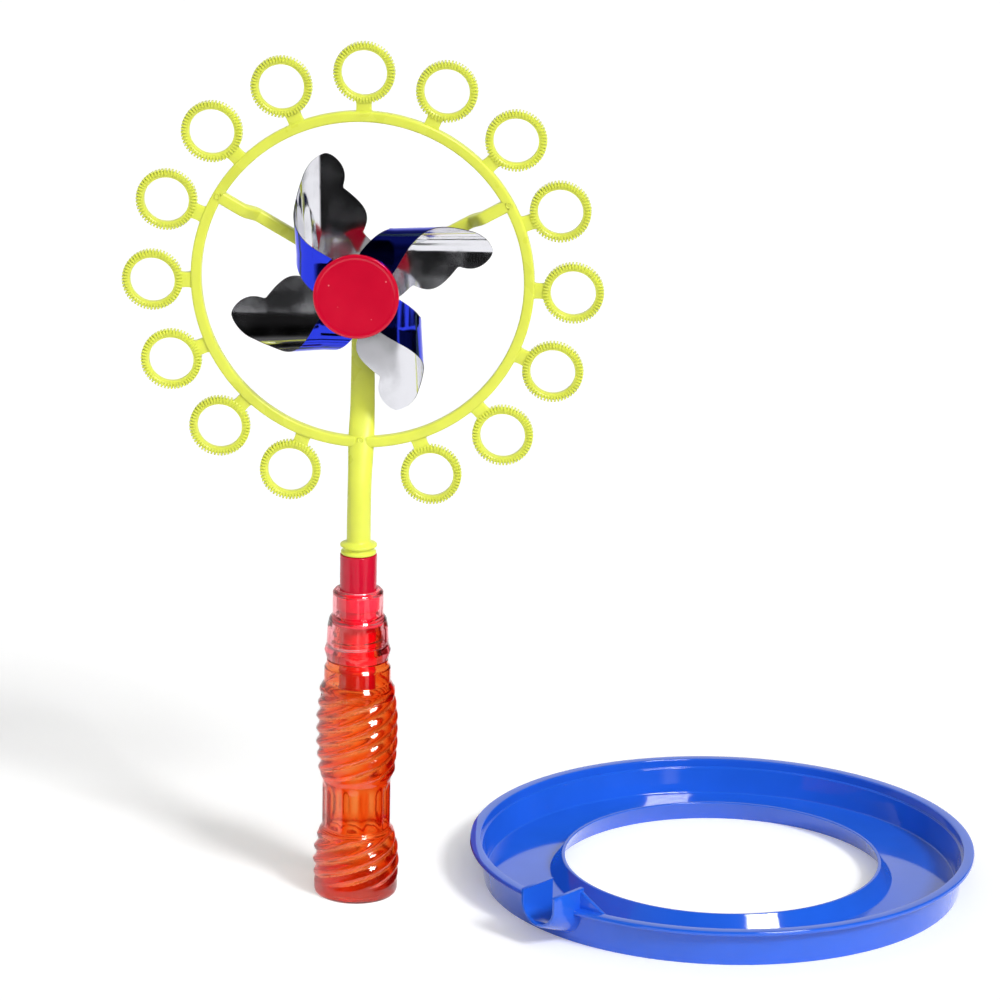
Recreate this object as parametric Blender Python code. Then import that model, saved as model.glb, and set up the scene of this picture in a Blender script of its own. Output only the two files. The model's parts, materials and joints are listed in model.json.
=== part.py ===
"""Bubble windmill: bottle handle, screw-capped wand with bubble loops, foil pinwheel and pouring tray.

Metres, +Z up. The bottle stands on z = 0 at the origin and the wand faces -Y.
"""

import math

import bmesh
import bpy
from mathutils import Matrix, Vector

# Clearances
SEAM = 0.0003
BEARING = 0.0003
BOTTLE_TO_LIQUID = 0.0003
SOCKET_TO_LIQUID = 0.0027

# Edge breaks of moulded pieces
EDGE_FINE = 0.0003
EDGE_SMALL = 0.0004
EDGE_WIDE = 0.0010

# Bottle, heights from the table
BASE_FLAT_RADIUS = 0.0125
BASE_HEIGHT = 0.0055
GRIP_LOW_RADIUS = 0.0170
GRIP_LOW_TOP = 0.0275
WAIST_RADIUS = 0.0138
WAIST_TOP = 0.0500
GRIP_HIGH_RADIUS = 0.01655
SHOULDER_HEIGHT = 0.0895
SHOULDER_RADIUS = 0.0152
COLLAR_RADIUS = 0.0134
COLLAR_TOP = 0.0968
CAP_SEAT_HEIGHT = 0.1005
CAP_SEAT_RADIUS = 0.0124
FINISH_RADIUS = 0.0097
FINISH_BORE_RADIUS = 0.0082
FINISH_HEIGHT = 0.0145
LIP_HEIGHT = CAP_SEAT_HEIGHT + FINISH_HEIGHT
BOTTLE_WALL = 0.0012
GRIP_LOW_BULGE = 0.0008
GRIP_HIGH_BULGE = 0.0010
GRIP_RUNOUT = 0.0015
SWIRL_STARTS = 8
SWIRL_DEPTH = 0.0009
SWIRL_PITCH = 0.045
WAIST_FLUTES = 10
FLUTE_DEPTH = 0.0005
BOTTLE_SEGMENTS = 40
SWIRL_ROW_HEIGHT = 0.0028

# Thread between bottle and cap
THREAD_PITCH = 0.0036
THREAD_HEIGHT = 0.0008
THREAD_ROOT_WIDTH = 0.0014
THREAD_CREST_WIDTH = 0.0006
THREAD_RISE = 0.0050
THREAD_START = CAP_SEAT_HEIGHT + THREAD_RISE
THREAD_TURNS = 1.6
CAP_THREAD_TURNS = 1.25
THREAD_CLEARANCE = 0.0004
THREAD_STEPS = 20
THREAD_END_FADE = 0.15

# Cap, seal and socket
CAP_WALL = 0.0013
CAP_BEAD_HEIGHT = 0.0037
CAP_BEAD_DEPTH = 0.0012
CAP_STEP_RADIUS = 0.0102
CAP_STEP_HEIGHT = 0.0115
CAP_TOP_THICKNESS = 0.0020
CAP_ROUND = 0.0012
SEAL_THICKNESS = 0.0010
SOCKET_RADIUS = 0.0074
SOCKET_BORE_RADIUS = 0.0052
SOCKET_RISE = 0.0435
SOCKET_TOP = CAP_SEAT_HEIGHT + SOCKET_RISE
SOCKET_LENGTH = 0.0568
SOCKET_BOTTOM = SOCKET_TOP - SOCKET_LENGTH
LIQUID_LEVEL = SOCKET_BOTTOM - SOCKET_TO_LIQUID
SOCKET_FLOOR = 0.0020
SOCKET_FLANGE_THICKNESS = 0.0020
TURNED_SEGMENTS = 32

# Stem
STEM_PLUG_LENGTH = 0.0430
STEM_PLUG_BOTTOM = SOCKET_TOP - STEM_PLUG_LENGTH
STEM_HALF_WIDTH = 0.0048
LOWER_FLANGE_RADIUS = 0.0074
LOWER_FLANGE_THICKNESS = 0.0011
GROOVE_RADIUS = 0.0060
GROOVE_HEIGHT = 0.0016
UPPER_FLANGE_RADIUS = 0.00695
UPPER_FLANGE_THICKNESS = 0.0025
STEM_STRAIGHT_LENGTH = 0.0160
STEM_BEND_HEIGHT = SOCKET_TOP + STEM_STRAIGHT_LENGTH
STEM_AT_HOOP_HALF_WIDTH = 0.0052
STEM_UPPER_HALF_WIDTH = 0.0044
STEM_UPPER_HALF_DEPTH = 0.0022
STEM_SET_BACK = 0.0012
STEM_SEGMENTS = 20
BOSS_RADIUS = 0.0055
BOSS_BACK = 0.0010
BOSS_CHAMFER = 0.0006

# Hoop, arms and loops
HUB_HEIGHT = 0.2548
HOOP_Y = 0.0060
HOOP_INNER_RADIUS = 0.0638
HOOP_WIDTH = 0.0042
FRAME_THICKNESS = 0.0044
FRAME_CHAMFER = 0.0008
HOOP_STEPS = 48
ARM_ANGLES = {"frame_arm_left": math.radians(150.5), "frame_arm_right": math.radians(29.5)}
ARM_WIDTH = 0.0054
ARM_STUB_LENGTH = 0.0095
ARM_STEP_LENGTH = 0.0050
ARM_STEP_BACK = 0.0056
LOOP_COUNT = 15
LOOP_STEP = math.radians(22.89)
LOOP_CIRCLE_RADIUS = 0.0833
LOOP_HOLE_RADIUS = 0.0089
LOOP_BAND = 0.0032
LOOP_WEB_WIDTH = 0.0062
LOOP_WEB_THICKNESS = 0.0030
LOOP_ARC_STEPS = 16

# Pinwheel, along Y from the boss towards the front
PIN_RADIUS = 0.0010
PIN_HEAD_RADIUS = 0.0022
PIN_HEAD_LENGTH = 0.0012
SNAP_HEAD_RADIUS = 0.0017
SNAP_HEAD_LENGTH = 0.0020
BEAD_RADIUS = 0.0030
BEAD_LENGTH = 0.0018
WASHER_RADIUS = 0.0090
WASHER_THICKNESS = 0.0007
FOIL_THICKNESS = 0.0003
SPOOL_RADIUS = 0.0030
SPOOL_FLANGE_RADIUS = 0.0080
SPOOL_FLANGE_THICKNESS = 0.0010
SNAP_CHAMBER_LENGTH = 0.0065
DISC_RADIUS = 0.0168
DISC_THICKNESS = 0.0018
DISC_PLUG_LENGTH = 0.0020
DISC_RIM_WIDTH = 0.0012
HUB_SEGMENTS = 24
PIN_SEGMENTS = 16
DISC_SEGMENTS = 40
BLADE_COUNT = 4
BLADE_FLAT = 0.0135
BLADE_CURL_RADIUS = 0.0110
BLADE_LENGTH = 0.0515
BLADE_COLUMNS = 14
BLADE_ROWS_OUTER = 10
BLADE_ROWS_INNER = 3
BLADE_CREST = 0.0084
BLADE_LOBE_ENDS = (0.38, 0.735, 1.0)
BLADE_LOBE_BASES = (-0.0015, -0.0004, 0.0082)
BLADE_LOBE_DEPTHS = (0.0042, 0.0043, 0.0010)
BLADE_LOBE_DRIFTS = (0.0, 0.0086, 0.0062)
BLADE_OVERHANG = 0.0028

# Tray
TRAY_CENTRE = Vector((0.1482, 0.0336, 0.0))
TRAY_BASE_RADIUS = 0.0972
TRAY_HEIGHT = 0.0160
TRAY_WALL = 0.0015
TRAY_DRAFT = 0.0014
TRAY_RIM_WIDTH = 0.0060
TRAY_RIM_DROP = 0.0018
TRAY_LEDGE_DEPTH = 0.0036
TRAY_LEDGE_WIDTH = 0.0008
TRAY_INNER_RIM_RADIUS = 0.0642
TRAY_INNER_RIM_HEIGHT = 0.0088
TRAY_INNER_SLOPE = 0.0046
TRAY_SEGMENTS = 64
LIP_ANGLE = math.radians(-128.0)
LIP_HALF_WIDTH = 0.0089
LIP_LENGTH = 0.0175
LIP_TOP = 0.0240
LIP_ROOT_FLOOR = 0.0030
LIP_TIP_FLOOR = 0.0100
LIP_FIN_ANGLE = math.radians(7.3)
LIP_ARC_STEPS = 10

SMOOTH_ANGLE = math.radians(35.0)


def clear_scene():
    """Remove every object, so that the script can run again in an open file."""
    for item in list(bpy.data.objects):
        bpy.data.objects.remove(item, do_unlink=True)


def finish(name, colour, roughness, metallic=0.0, alpha=1.0):
    """Make a plain Principled material; the colour is linear RGB."""
    material = bpy.data.materials.new(name)
    material.use_nodes = True
    shader = material.node_tree.nodes["Principled BSDF"]
    shader.inputs["Base Color"].default_value = (*colour, 1.0)
    shader.inputs["Roughness"].default_value = roughness
    shader.inputs["Metallic"].default_value = metallic
    shader.inputs["Alpha"].default_value = alpha
    return material


def pivot(name, place, parent=None):
    """Make the empty that carries the pieces of one moving body."""
    empty = bpy.data.objects.new(name, None)
    empty.location = place
    empty.parent = parent
    bpy.context.collection.objects.link(empty)
    return empty


def to_mesh(name, shape):
    """Turn a bmesh into a closed, smooth-shaded mesh that faces outwards."""
    bmesh.ops.recalc_face_normals(shape, faces=shape.faces)
    mesh = bpy.data.meshes.new(name)
    shape.to_mesh(mesh)
    shape.free()
    mesh.shade_smooth()
    mesh.set_sharp_from_angle(angle=SMOOTH_ANGLE)
    return mesh


def add(name, shape, material, parent):
    """Put a shape, as a bmesh or a mesh that is shared, into the scene as one named piece."""
    mesh = to_mesh(name, shape) if isinstance(shape, bmesh.types.BMesh) else shape
    if not mesh.materials:
        mesh.materials.append(material)
    piece = bpy.data.objects.new(name, mesh)
    piece.parent = parent
    bpy.context.collection.objects.link(piece)
    return piece


def combine(piece, name, shape, operation):
    """Join a hidden shape to a piece, or cut it out of the piece."""
    tool = bpy.data.objects.new(name, to_mesh(name, shape))
    tool.parent = piece
    tool.hide_render = True
    tool.display_type = "WIRE"
    bpy.context.collection.objects.link(tool)
    boolean = piece.modifiers.new(name, "BOOLEAN")
    boolean.operation = operation
    boolean.solver = "EXACT"
    boolean.object = tool


def bridge(shape, rows, wrap):
    """Fill quads between neighbouring rows of vertices, each a closed ring when wrap is set."""
    for near, far in zip(rows, rows[1:]):
        count = len(near)
        for index in range(count if wrap else count - 1):
            after = (index + 1) % count
            shape.faces.new((near[index], near[after], far[after], far[index]))


def loft(rings):
    """Close a stack of equal rings of points into one solid with flat ends."""
    shape = bmesh.new()
    rows = [[shape.verts.new(point) for point in ring] for ring in rings]
    bridge(shape, rows, True)
    shape.faces.new(rows[0])
    shape.faces.new(rows[-1])
    return shape


def circle(radius, height, segments, start=0.0):
    """Points of a level circle round Z."""
    angles = [start + math.tau * index / segments for index in range(segments)]
    return [(radius * math.cos(a), radius * math.sin(a), height) for a in angles]


def turned(profile, segments=TURNED_SEGMENTS):
    """Solid of revolution round Z of (radius, height) points that run from one flat end to the other."""
    return loft([circle(radius, height, segments) for radius, height in profile])


def turned_ring(profile, segments=TURNED_SEGMENTS):
    """Solid of revolution round Z of a closed (radius, height) outline that stays off the axis."""
    shape = bmesh.new()
    rows = [[shape.verts.new(p) for p in circle(radius, height, segments)] for radius, height in profile]
    bridge(shape, rows + rows[:1], True)
    return shape


def along_y(shape):
    """Lay a solid of revolution down, so that its height runs along +Y."""
    bmesh.ops.rotate(shape, verts=shape.verts, matrix=Matrix.Rotation(-math.pi / 2, 3, "X"))
    return shape


def prism(outline, low, high, place):
    """Extrude a flat outline between two values; place maps (a, b, value) to a point."""
    return loft([[place(a, b, value) for a, b in outline] for value in (low, high)])


def soften(shape, width):
    """Bevel the sharp edges of a shape."""
    bmesh.ops.recalc_face_normals(shape, faces=shape.faces)
    edges = [e for e in shape.edges if e.calc_face_angle(0.0) > math.radians(50.0)]
    bmesh.ops.bevel(shape, geom=edges, offset=width, segments=1, affect="EDGES")
    return shape


def follow(points, value):
    """Straight-line interpolation through (value, result) pairs in rising order."""
    for (left, low), (right, high) in zip(points, points[1:]):
        if value <= right:
            return low + (high - low) * (value - left) / (right - left)
    return points[-1][1]


def thread_ridge(base_radius, height, start, turns):
    """Helical ridge on a cylinder; a negative height points it inwards. Its foot is sunk in the wall."""
    foot = base_radius - math.copysign(THREAD_HEIGHT / 4, height)
    steps = round(turns * THREAD_STEPS)
    rings = []
    for index in range(steps + 1):
        angle = math.tau * index / THREAD_STEPS
        level = start + THREAD_PITCH * index / THREAD_STEPS
        fade = THREAD_END_FADE if index in (0, steps) else 1.0
        crest = base_radius + height * fade
        section = (
            (foot, -THREAD_ROOT_WIDTH / 2),
            (crest, -THREAD_CREST_WIDTH / 2),
            (crest, THREAD_CREST_WIDTH / 2),
            (foot, THREAD_ROOT_WIDTH / 2),
        )
        rings.append([(r * math.cos(angle), r * math.sin(angle), level + z) for r, z in section])
    return loft(rings)


def swirl_rows(radius_low, radius_high, bulge, low, high):
    """Rings of one swirled grip, from a low to a high level, swelling by the bulge in between."""
    count = math.ceil((high - low) / SWIRL_ROW_HEIGHT)
    rows = []
    for index in range(count + 1):
        share = index / count
        radius = radius_low + (radius_high - radius_low) * share + bulge * math.sin(math.pi * share)
        rows.append((radius, low + (high - low) * share, SWIRL_DEPTH, SWIRL_STARTS))
    return rows


def bottle_outline():
    """Rings of the bottle's outside from the base up: radius, height, rib depth and rib count."""
    corner = GRIP_LOW_RADIUS - BASE_FLAT_RADIUS
    mouth = CAP_SEAT_HEIGHT - SEAM
    rows = [
        (BASE_FLAT_RADIUS, 0.0, 0.0, 1),
        (BASE_FLAT_RADIUS + 0.62 * corner, 0.18 * BASE_HEIGHT, 0.0, 1),
        (BASE_FLAT_RADIUS + 0.87 * corner, 0.52 * BASE_HEIGHT, 0.0, 1),
        (GRIP_LOW_RADIUS, BASE_HEIGHT, 0.0, 1),
    ]
    rows += swirl_rows(
        GRIP_LOW_RADIUS, WAIST_RADIUS + GRIP_RUNOUT, GRIP_LOW_BULGE, BASE_HEIGHT + GRIP_RUNOUT, GRIP_LOW_TOP
    )
    rows += [
        (WAIST_RADIUS, GRIP_LOW_TOP + GRIP_RUNOUT, 0.0, 1),
        (WAIST_RADIUS, GRIP_LOW_TOP + 3 * GRIP_RUNOUT, FLUTE_DEPTH, WAIST_FLUTES),
        (WAIST_RADIUS, WAIST_TOP - 2 * GRIP_RUNOUT, FLUTE_DEPTH, WAIST_FLUTES),
        (WAIST_RADIUS, WAIST_TOP, 0.0, 1),
    ]
    rows += swirl_rows(
        GRIP_HIGH_RADIUS - GRIP_HIGH_BULGE, SHOULDER_RADIUS, GRIP_HIGH_BULGE,
        WAIST_TOP + 2 * GRIP_RUNOUT, SHOULDER_HEIGHT - GRIP_RUNOUT,
    )
    rows += [
        (SHOULDER_RADIUS - GRIP_RUNOUT / 3, SHOULDER_HEIGHT, 0.0, 1),
        (COLLAR_RADIUS, SHOULDER_HEIGHT + GRIP_RUNOUT, 0.0, 1),
        (COLLAR_RADIUS, COLLAR_TOP, 0.0, 1),
        (CAP_SEAT_RADIUS, COLLAR_TOP + GRIP_RUNOUT, 0.0, 1),
        (CAP_SEAT_RADIUS, mouth, 0.0, 1),
        (FINISH_RADIUS, mouth, 0.0, 1),
        (FINISH_RADIUS, LIP_HEIGHT, 0.0, 1),
    ]
    return rows


def swirl_turn(level):
    """Angle that the swirl has turned at a height; it only turns along the two grips."""
    low = min(max(level - BASE_HEIGHT, 0.0), GRIP_LOW_TOP - BASE_HEIGHT)
    high = min(max(level - WAIST_TOP, 0.0), SHOULDER_HEIGHT - WAIST_TOP)
    return math.tau * (low + high) / SWIRL_PITCH


def bore_outline():
    """Radius and height of the bottle's inside, from the lip down to the floor."""
    inset = BOTTLE_WALL + SWIRL_DEPTH
    neck = CAP_SEAT_HEIGHT - SEAM - BOTTLE_WALL
    collar = COLLAR_RADIUS - BOTTLE_WALL
    return [
        (FINISH_BORE_RADIUS, LIP_HEIGHT),
        (FINISH_BORE_RADIUS, neck),
        (collar, COLLAR_TOP - BOTTLE_WALL),
        (collar, SHOULDER_HEIGHT - GRIP_RUNOUT),
        (SHOULDER_RADIUS - inset, SHOULDER_HEIGHT - 3 * GRIP_RUNOUT),
        (GRIP_HIGH_RADIUS - inset, (WAIST_TOP + SHOULDER_HEIGHT) / 2),
        (GRIP_HIGH_RADIUS - GRIP_HIGH_BULGE - inset, WAIST_TOP + 3 * GRIP_RUNOUT),
        (WAIST_RADIUS - inset, WAIST_TOP),
        (WAIST_RADIUS - inset, GRIP_LOW_TOP),
        (GRIP_LOW_RADIUS - inset, BASE_HEIGHT + 2 * GRIP_RUNOUT),
        (BASE_FLAT_RADIUS, BOTTLE_WALL),
    ]


def bottle():
    """Hollow bottle whose rings turn with the swirl, so that the ribs follow the mesh."""
    shape = bmesh.new()
    rows = []
    for radius, level, depth, count in bottle_outline():
        ring = []
        for index in range(BOTTLE_SEGMENTS):
            share = index / BOTTLE_SEGMENTS
            angle = math.tau * share + swirl_turn(level)
            reach = radius - depth * (0.5 + 0.5 * math.cos(math.tau * share * count))
            ring.append(shape.verts.new((reach * math.cos(angle), reach * math.sin(angle), level)))
        rows.append(ring)
    start = swirl_turn(LIP_HEIGHT)
    for radius, level in bore_outline():
        rows.append([shape.verts.new(p) for p in circle(radius, level, BOTTLE_SEGMENTS, start)])
    bridge(shape, rows, True)
    shape.faces.new(rows[0])
    shape.faces.new(rows[-1])
    return shape


def liquid():
    """Fill of bubble solution up to its level, a hair smaller than the bottle's inside."""
    inside = [(level, radius) for radius, level in reversed(bore_outline())]
    levels = [level for level, _ in inside if level < LIQUID_LEVEL] + [LIQUID_LEVEL]
    walls = [(follow(inside, level) - BOTTLE_TO_LIQUID, level) for level in levels]
    walls[0] = (walls[0][0], walls[0][1] + BOTTLE_TO_LIQUID)
    return turned(walls)


def cap_levels():
    """Heights of the cap's shoulder, step and top, stacked on the bottle's lip and the seal."""
    shoulder = LIP_HEIGHT + SEAL_THICKNESS + 2 * SEAM
    step = shoulder + CAP_WALL
    return shoulder, step, step + CAP_STEP_HEIGHT


def cap_bore_radius():
    """Inner radius of the cap's skirt, clear of the bottle's thread crest."""
    return FINISH_RADIUS + THREAD_HEIGHT + THREAD_CLEARANCE


def cap():
    """Stepped cap with a bead at its lower edge and a hole for the socket in its top."""
    shoulder, step, top = cap_levels()
    bore = cap_bore_radius()
    skirt = bore + CAP_WALL
    bead = CAP_SEAT_HEIGHT + CAP_BEAD_HEIGHT
    chamber = CAP_STEP_RADIUS - CAP_WALL
    hole = SOCKET_RADIUS + SEAM
    outline = [
        (CAP_SEAT_RADIUS, CAP_SEAT_HEIGHT),
        (skirt + CAP_BEAD_DEPTH - EDGE_SMALL, bead - CAP_ROUND),
        (skirt + CAP_BEAD_DEPTH, bead),
        (skirt + CAP_BEAD_DEPTH - EDGE_SMALL, bead + CAP_ROUND),
        (skirt + EDGE_SMALL, bead + 2 * CAP_ROUND),
        (skirt, shoulder - 2 * CAP_ROUND),
        (skirt - CAP_ROUND / 2, step - EDGE_WIDE),
        (CAP_STEP_RADIUS + EDGE_WIDE, step),
        (CAP_STEP_RADIUS, step + CAP_ROUND),
        (CAP_STEP_RADIUS, top - CAP_ROUND),
        (CAP_STEP_RADIUS - EDGE_SMALL, top - EDGE_SMALL),
        (CAP_STEP_RADIUS - EDGE_WIDE, top),
        (hole, top),
        (hole, top - CAP_TOP_THICKNESS),
        (chamber, top - CAP_TOP_THICKNESS),
        (chamber, shoulder),
        (bore, shoulder),
        (bore, CAP_SEAT_HEIGHT),
    ]
    return turned_ring(outline)


def seal():
    """Washer between the bottle's lip and the cap's shoulder."""
    low = LIP_HEIGHT + SEAM
    outer = cap_bore_radius() - SEAM
    inner = FINISH_BORE_RADIUS
    high = low + SEAL_THICKNESS
    return turned_ring([(outer, low), (outer, high), (inner, high), (inner, low)])


def socket():
    """Closed tube through the cap, with a flange under the cap's top."""
    top = cap_levels()[2] - CAP_TOP_THICKNESS - SEAM
    flange = CAP_STEP_RADIUS - CAP_WALL - SEAM
    profile = [
        (SOCKET_RADIUS - EDGE_WIDE, SOCKET_BOTTOM),
        (SOCKET_RADIUS, SOCKET_BOTTOM + EDGE_WIDE),
        (SOCKET_RADIUS, top - SOCKET_FLANGE_THICKNESS),
        (flange, top - SOCKET_FLANGE_THICKNESS),
        (flange, top),
        (SOCKET_RADIUS, top),
        (SOCKET_RADIUS, SOCKET_TOP),
        (SOCKET_BORE_RADIUS, SOCKET_TOP),
        (SOCKET_BORE_RADIUS, SOCKET_BOTTOM + SOCKET_FLOOR),
    ]
    return turned(profile)


def stem_rings():
    """Level sections of the stem: height, centre in Y, half width and half depth."""
    plug = SOCKET_BORE_RADIUS - SEAM
    low = SOCKET_TOP + SEAM
    groove = low + LOWER_FLANGE_THICKNESS
    upper = groove + GROOVE_HEIGHT
    neck = upper + UPPER_FLANGE_THICKNESS
    hoop_level = HUB_HEIGHT - HOOP_INNER_RADIUS - HOOP_WIDTH / 2
    lean = hoop_level - STEM_BEND_HEIGHT
    wide = STEM_AT_HOOP_HALF_WIDTH
    flat = STEM_UPPER_HALF_DEPTH
    back = arm_middle()
    return [
        (STEM_PLUG_BOTTOM, 0.0, plug - EDGE_WIDE, plug - EDGE_WIDE),
        (STEM_PLUG_BOTTOM + EDGE_WIDE, 0.0, plug, plug),
        (low, 0.0, plug, plug),
        (low, 0.0, LOWER_FLANGE_RADIUS, LOWER_FLANGE_RADIUS),
        (groove, 0.0, LOWER_FLANGE_RADIUS, LOWER_FLANGE_RADIUS),
        (groove + EDGE_SMALL, 0.0, GROOVE_RADIUS, GROOVE_RADIUS),
        (upper - EDGE_SMALL, 0.0, GROOVE_RADIUS, GROOVE_RADIUS),
        (upper, 0.0, UPPER_FLANGE_RADIUS, UPPER_FLANGE_RADIUS),
        (neck - EDGE_WIDE, 0.0, UPPER_FLANGE_RADIUS, UPPER_FLANGE_RADIUS),
        (neck, 0.0, STEM_HALF_WIDTH, STEM_HALF_WIDTH),
        (STEM_BEND_HEIGHT, 0.0, STEM_HALF_WIDTH, STEM_HALF_WIDTH),
        (STEM_BEND_HEIGHT + lean * 0.40, HOOP_Y * 0.24, STEM_HALF_WIDTH, STEM_HALF_WIDTH * 0.97),
        (STEM_BEND_HEIGHT + lean * 0.76, HOOP_Y * 0.74, wide, STEM_HALF_WIDTH * 0.88),
        (hoop_level, HOOP_Y + STEM_SET_BACK, wide, STEM_HALF_WIDTH * 0.74),
        (hoop_level + HOOP_WIDTH * 1.7, (HOOP_Y + 2 * back) / 3, wide, flat + EDGE_FINE),
        (hoop_level + HOOP_WIDTH * 3.4, back, wide - EDGE_FINE, flat),
        (HUB_HEIGHT - BOSS_RADIUS / 2, back, STEM_UPPER_HALF_WIDTH, flat),
    ]


def stem():
    """Stem from the plug in the socket up to the boss."""
    rings = []
    for level, middle, half_width, half_depth in stem_rings():
        ring = []
        for x, y, _ in circle(1.0, 0.0, STEM_SEGMENTS, math.pi / STEM_SEGMENTS):
            ring.append((x * half_width, middle + y * half_depth, level))
        rings.append(ring)
    return loft(rings)


def arm_middle():
    """Middle plane, in Y, of the arms where they reach the boss."""
    return HOOP_Y + ARM_STEP_BACK


def boss_faces():
    """Front and back of the axle boss in Y."""
    back = arm_middle() + FRAME_THICKNESS / 2 + BOSS_BACK
    return HOOP_Y, back


def boss():
    """Round boss at the stem's end."""
    front, back = boss_faces()
    ends = ((BOSS_RADIUS - BOSS_CHAMFER, front), (BOSS_RADIUS, front + BOSS_CHAMFER), (BOSS_RADIUS, back))
    shape = along_y(turned(ends, HUB_SEGMENTS))
    bmesh.ops.translate(shape, verts=shape.verts, vec=(0.0, 0.0, HUB_HEIGHT))
    return shape


def boss_bore():
    """Hole for the axle pin through the boss."""
    front, back = boss_faces()
    radius = PIN_RADIUS + BEARING
    shape = along_y(turned([(radius, front - BOSS_RADIUS), (radius, back + BOSS_RADIUS)], PIN_SEGMENTS))
    bmesh.ops.translate(shape, verts=shape.verts, vec=(0.0, 0.0, HUB_HEIGHT))
    return shape


def arm():
    """Arm along +X from the boss out to the hoop, stepped forward into the hoop's plane."""
    half = FRAME_THICKNESS / 2
    outer = HOOP_INNER_RADIUS - SEAM
    stub = outer - ARM_STUB_LENGTH
    foot = stub - ARM_STEP_LENGTH
    inner = BOSS_RADIUS + SEAM
    outline = [
        (inner, arm_middle() - half),
        (foot, arm_middle() - half),
        (stub, HOOP_Y - half),
        (outer, HOOP_Y - half),
        (outer, HOOP_Y + half),
        (stub, HOOP_Y + half),
        (foot, arm_middle() + half),
        (inner, arm_middle() + half),
    ]
    shape = prism(outline, -ARM_WIDTH / 2, ARM_WIDTH / 2, lambda a, b, value: (a, b, value))
    return soften(shape, FRAME_CHAMFER)


def hoop():
    """Flat ring round the hub, open at the bottom where the stem passes."""
    half = FRAME_THICKNESS / 2
    inner = HOOP_INNER_RADIUS
    outer = HOOP_INNER_RADIUS + HOOP_WIDTH
    section = [
        (inner, -half + FRAME_CHAMFER),
        (inner + FRAME_CHAMFER, -half),
        (outer - FRAME_CHAMFER, -half),
        (outer, -half + FRAME_CHAMFER),
        (outer, half - FRAME_CHAMFER),
        (outer - FRAME_CHAMFER, half),
        (inner + FRAME_CHAMFER, half),
        (inner, half - FRAME_CHAMFER),
    ]
    gap = math.asin((STEM_AT_HOOP_HALF_WIDTH + SEAM) / HOOP_INNER_RADIUS)
    rings = []
    for index in range(HOOP_STEPS + 1):
        angle = -math.pi / 2 + gap + (math.tau - 2 * gap) * index / HOOP_STEPS
        rings.append([(r * math.cos(angle), y, r * math.sin(angle)) for r, y in section])
    return loft(rings)


def bubble_loop():
    """Ring with six-sided section round Y and a web along -X that ends just short of the hoop."""
    outer = LOOP_HOLE_RADIUS + LOOP_BAND
    half = FRAME_THICKNESS / 2
    web = LOOP_CIRCLE_RADIUS - HOOP_INNER_RADIUS - HOOP_WIDTH - SEAM
    half_web = LOOP_WEB_WIDTH / 2
    spread = math.asin(half_web / outer)
    sections = []
    for index in range(LOOP_ARC_STEPS + 1):
        angle = -math.pi + spread + (math.tau - 2 * spread) * index / LOOP_ARC_STEPS
        sections.append((angle, outer, half))
    end_angle = math.pi - math.atan2(half_web, web)
    end_reach = math.hypot(half_web, web)
    thin = LOOP_WEB_THICKNESS / 2
    sections.append((end_angle, end_reach, thin))
    sections.append((-end_angle, end_reach, thin))
    shape = bmesh.new()
    rows = []
    for angle, reach, depth in sections:
        rim = min(FRAME_CHAMFER, reach - outer + FRAME_CHAMFER)
        tip = rim if reach == outer else 0.0
        section = (
            (LOOP_HOLE_RADIUS, 0.0),
            (LOOP_HOLE_RADIUS + FRAME_CHAMFER, -half),
            (reach - tip, -depth),
            (reach, 0.0),
            (reach - tip, depth),
            (LOOP_HOLE_RADIUS + FRAME_CHAMFER, half),
        )
        rows.append([shape.verts.new((r * math.cos(angle), y, r * math.sin(angle))) for r, y in section])
    bridge(shape, rows + rows[:1], True)
    return shape


def pinwheel_levels():
    """Y of each face of the pinwheel's stack, from the boss's front face to the disc's front."""
    bead_back = boss_faces()[0] - SEAM
    bead_front = bead_back - BEAD_LENGTH
    washer_front = bead_front - SEAM - WASHER_THICKNESS
    foil_back = washer_front - SEAM - FOIL_THICKNESS / 2
    spool_back = foil_back - FOIL_THICKNESS / 2 - SEAM
    foil_front = foil_back - 2 * BLADE_CURL_RADIUS
    spool_front = foil_front + FOIL_THICKNESS / 2 + SEAM
    disc_back = foil_front - FOIL_THICKNESS / 2 - SEAM
    return {
        "bead": (bead_front, bead_back),
        "washer": (washer_front, bead_front - SEAM),
        "foil": foil_back,
        "spool": (spool_front, spool_back),
        "disc": (disc_back - DISC_THICKNESS, disc_back),
    }


def pierced_disc(radius, faces):
    """Round piece with a running bore on the axle pin."""
    low, high = faces
    bore = PIN_RADIUS + BEARING
    return along_y(turned_ring([(radius, low), (radius, high), (bore, high), (bore, low)], HUB_SEGMENTS))


def spool():
    """Tube with two flanges, whose front end holds the pin's snap head."""
    front, back = pinwheel_levels()["spool"]
    bore = PIN_RADIUS + BEARING
    chamber = SNAP_HEAD_RADIUS + BEARING
    outline = [
        (SPOOL_FLANGE_RADIUS, back),
        (SPOOL_FLANGE_RADIUS, back - SPOOL_FLANGE_THICKNESS),
        (SPOOL_RADIUS, back - SPOOL_FLANGE_THICKNESS),
        (SPOOL_RADIUS, front + SPOOL_FLANGE_THICKNESS),
        (SPOOL_FLANGE_RADIUS, front + SPOOL_FLANGE_THICKNESS),
        (SPOOL_FLANGE_RADIUS, front),
        (chamber, front),
        (chamber, front + SNAP_CHAMBER_LENGTH),
        (bore, front + SNAP_CHAMBER_LENGTH),
        (bore, back),
    ]
    return along_y(turned_ring(outline, HUB_SEGMENTS))


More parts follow.
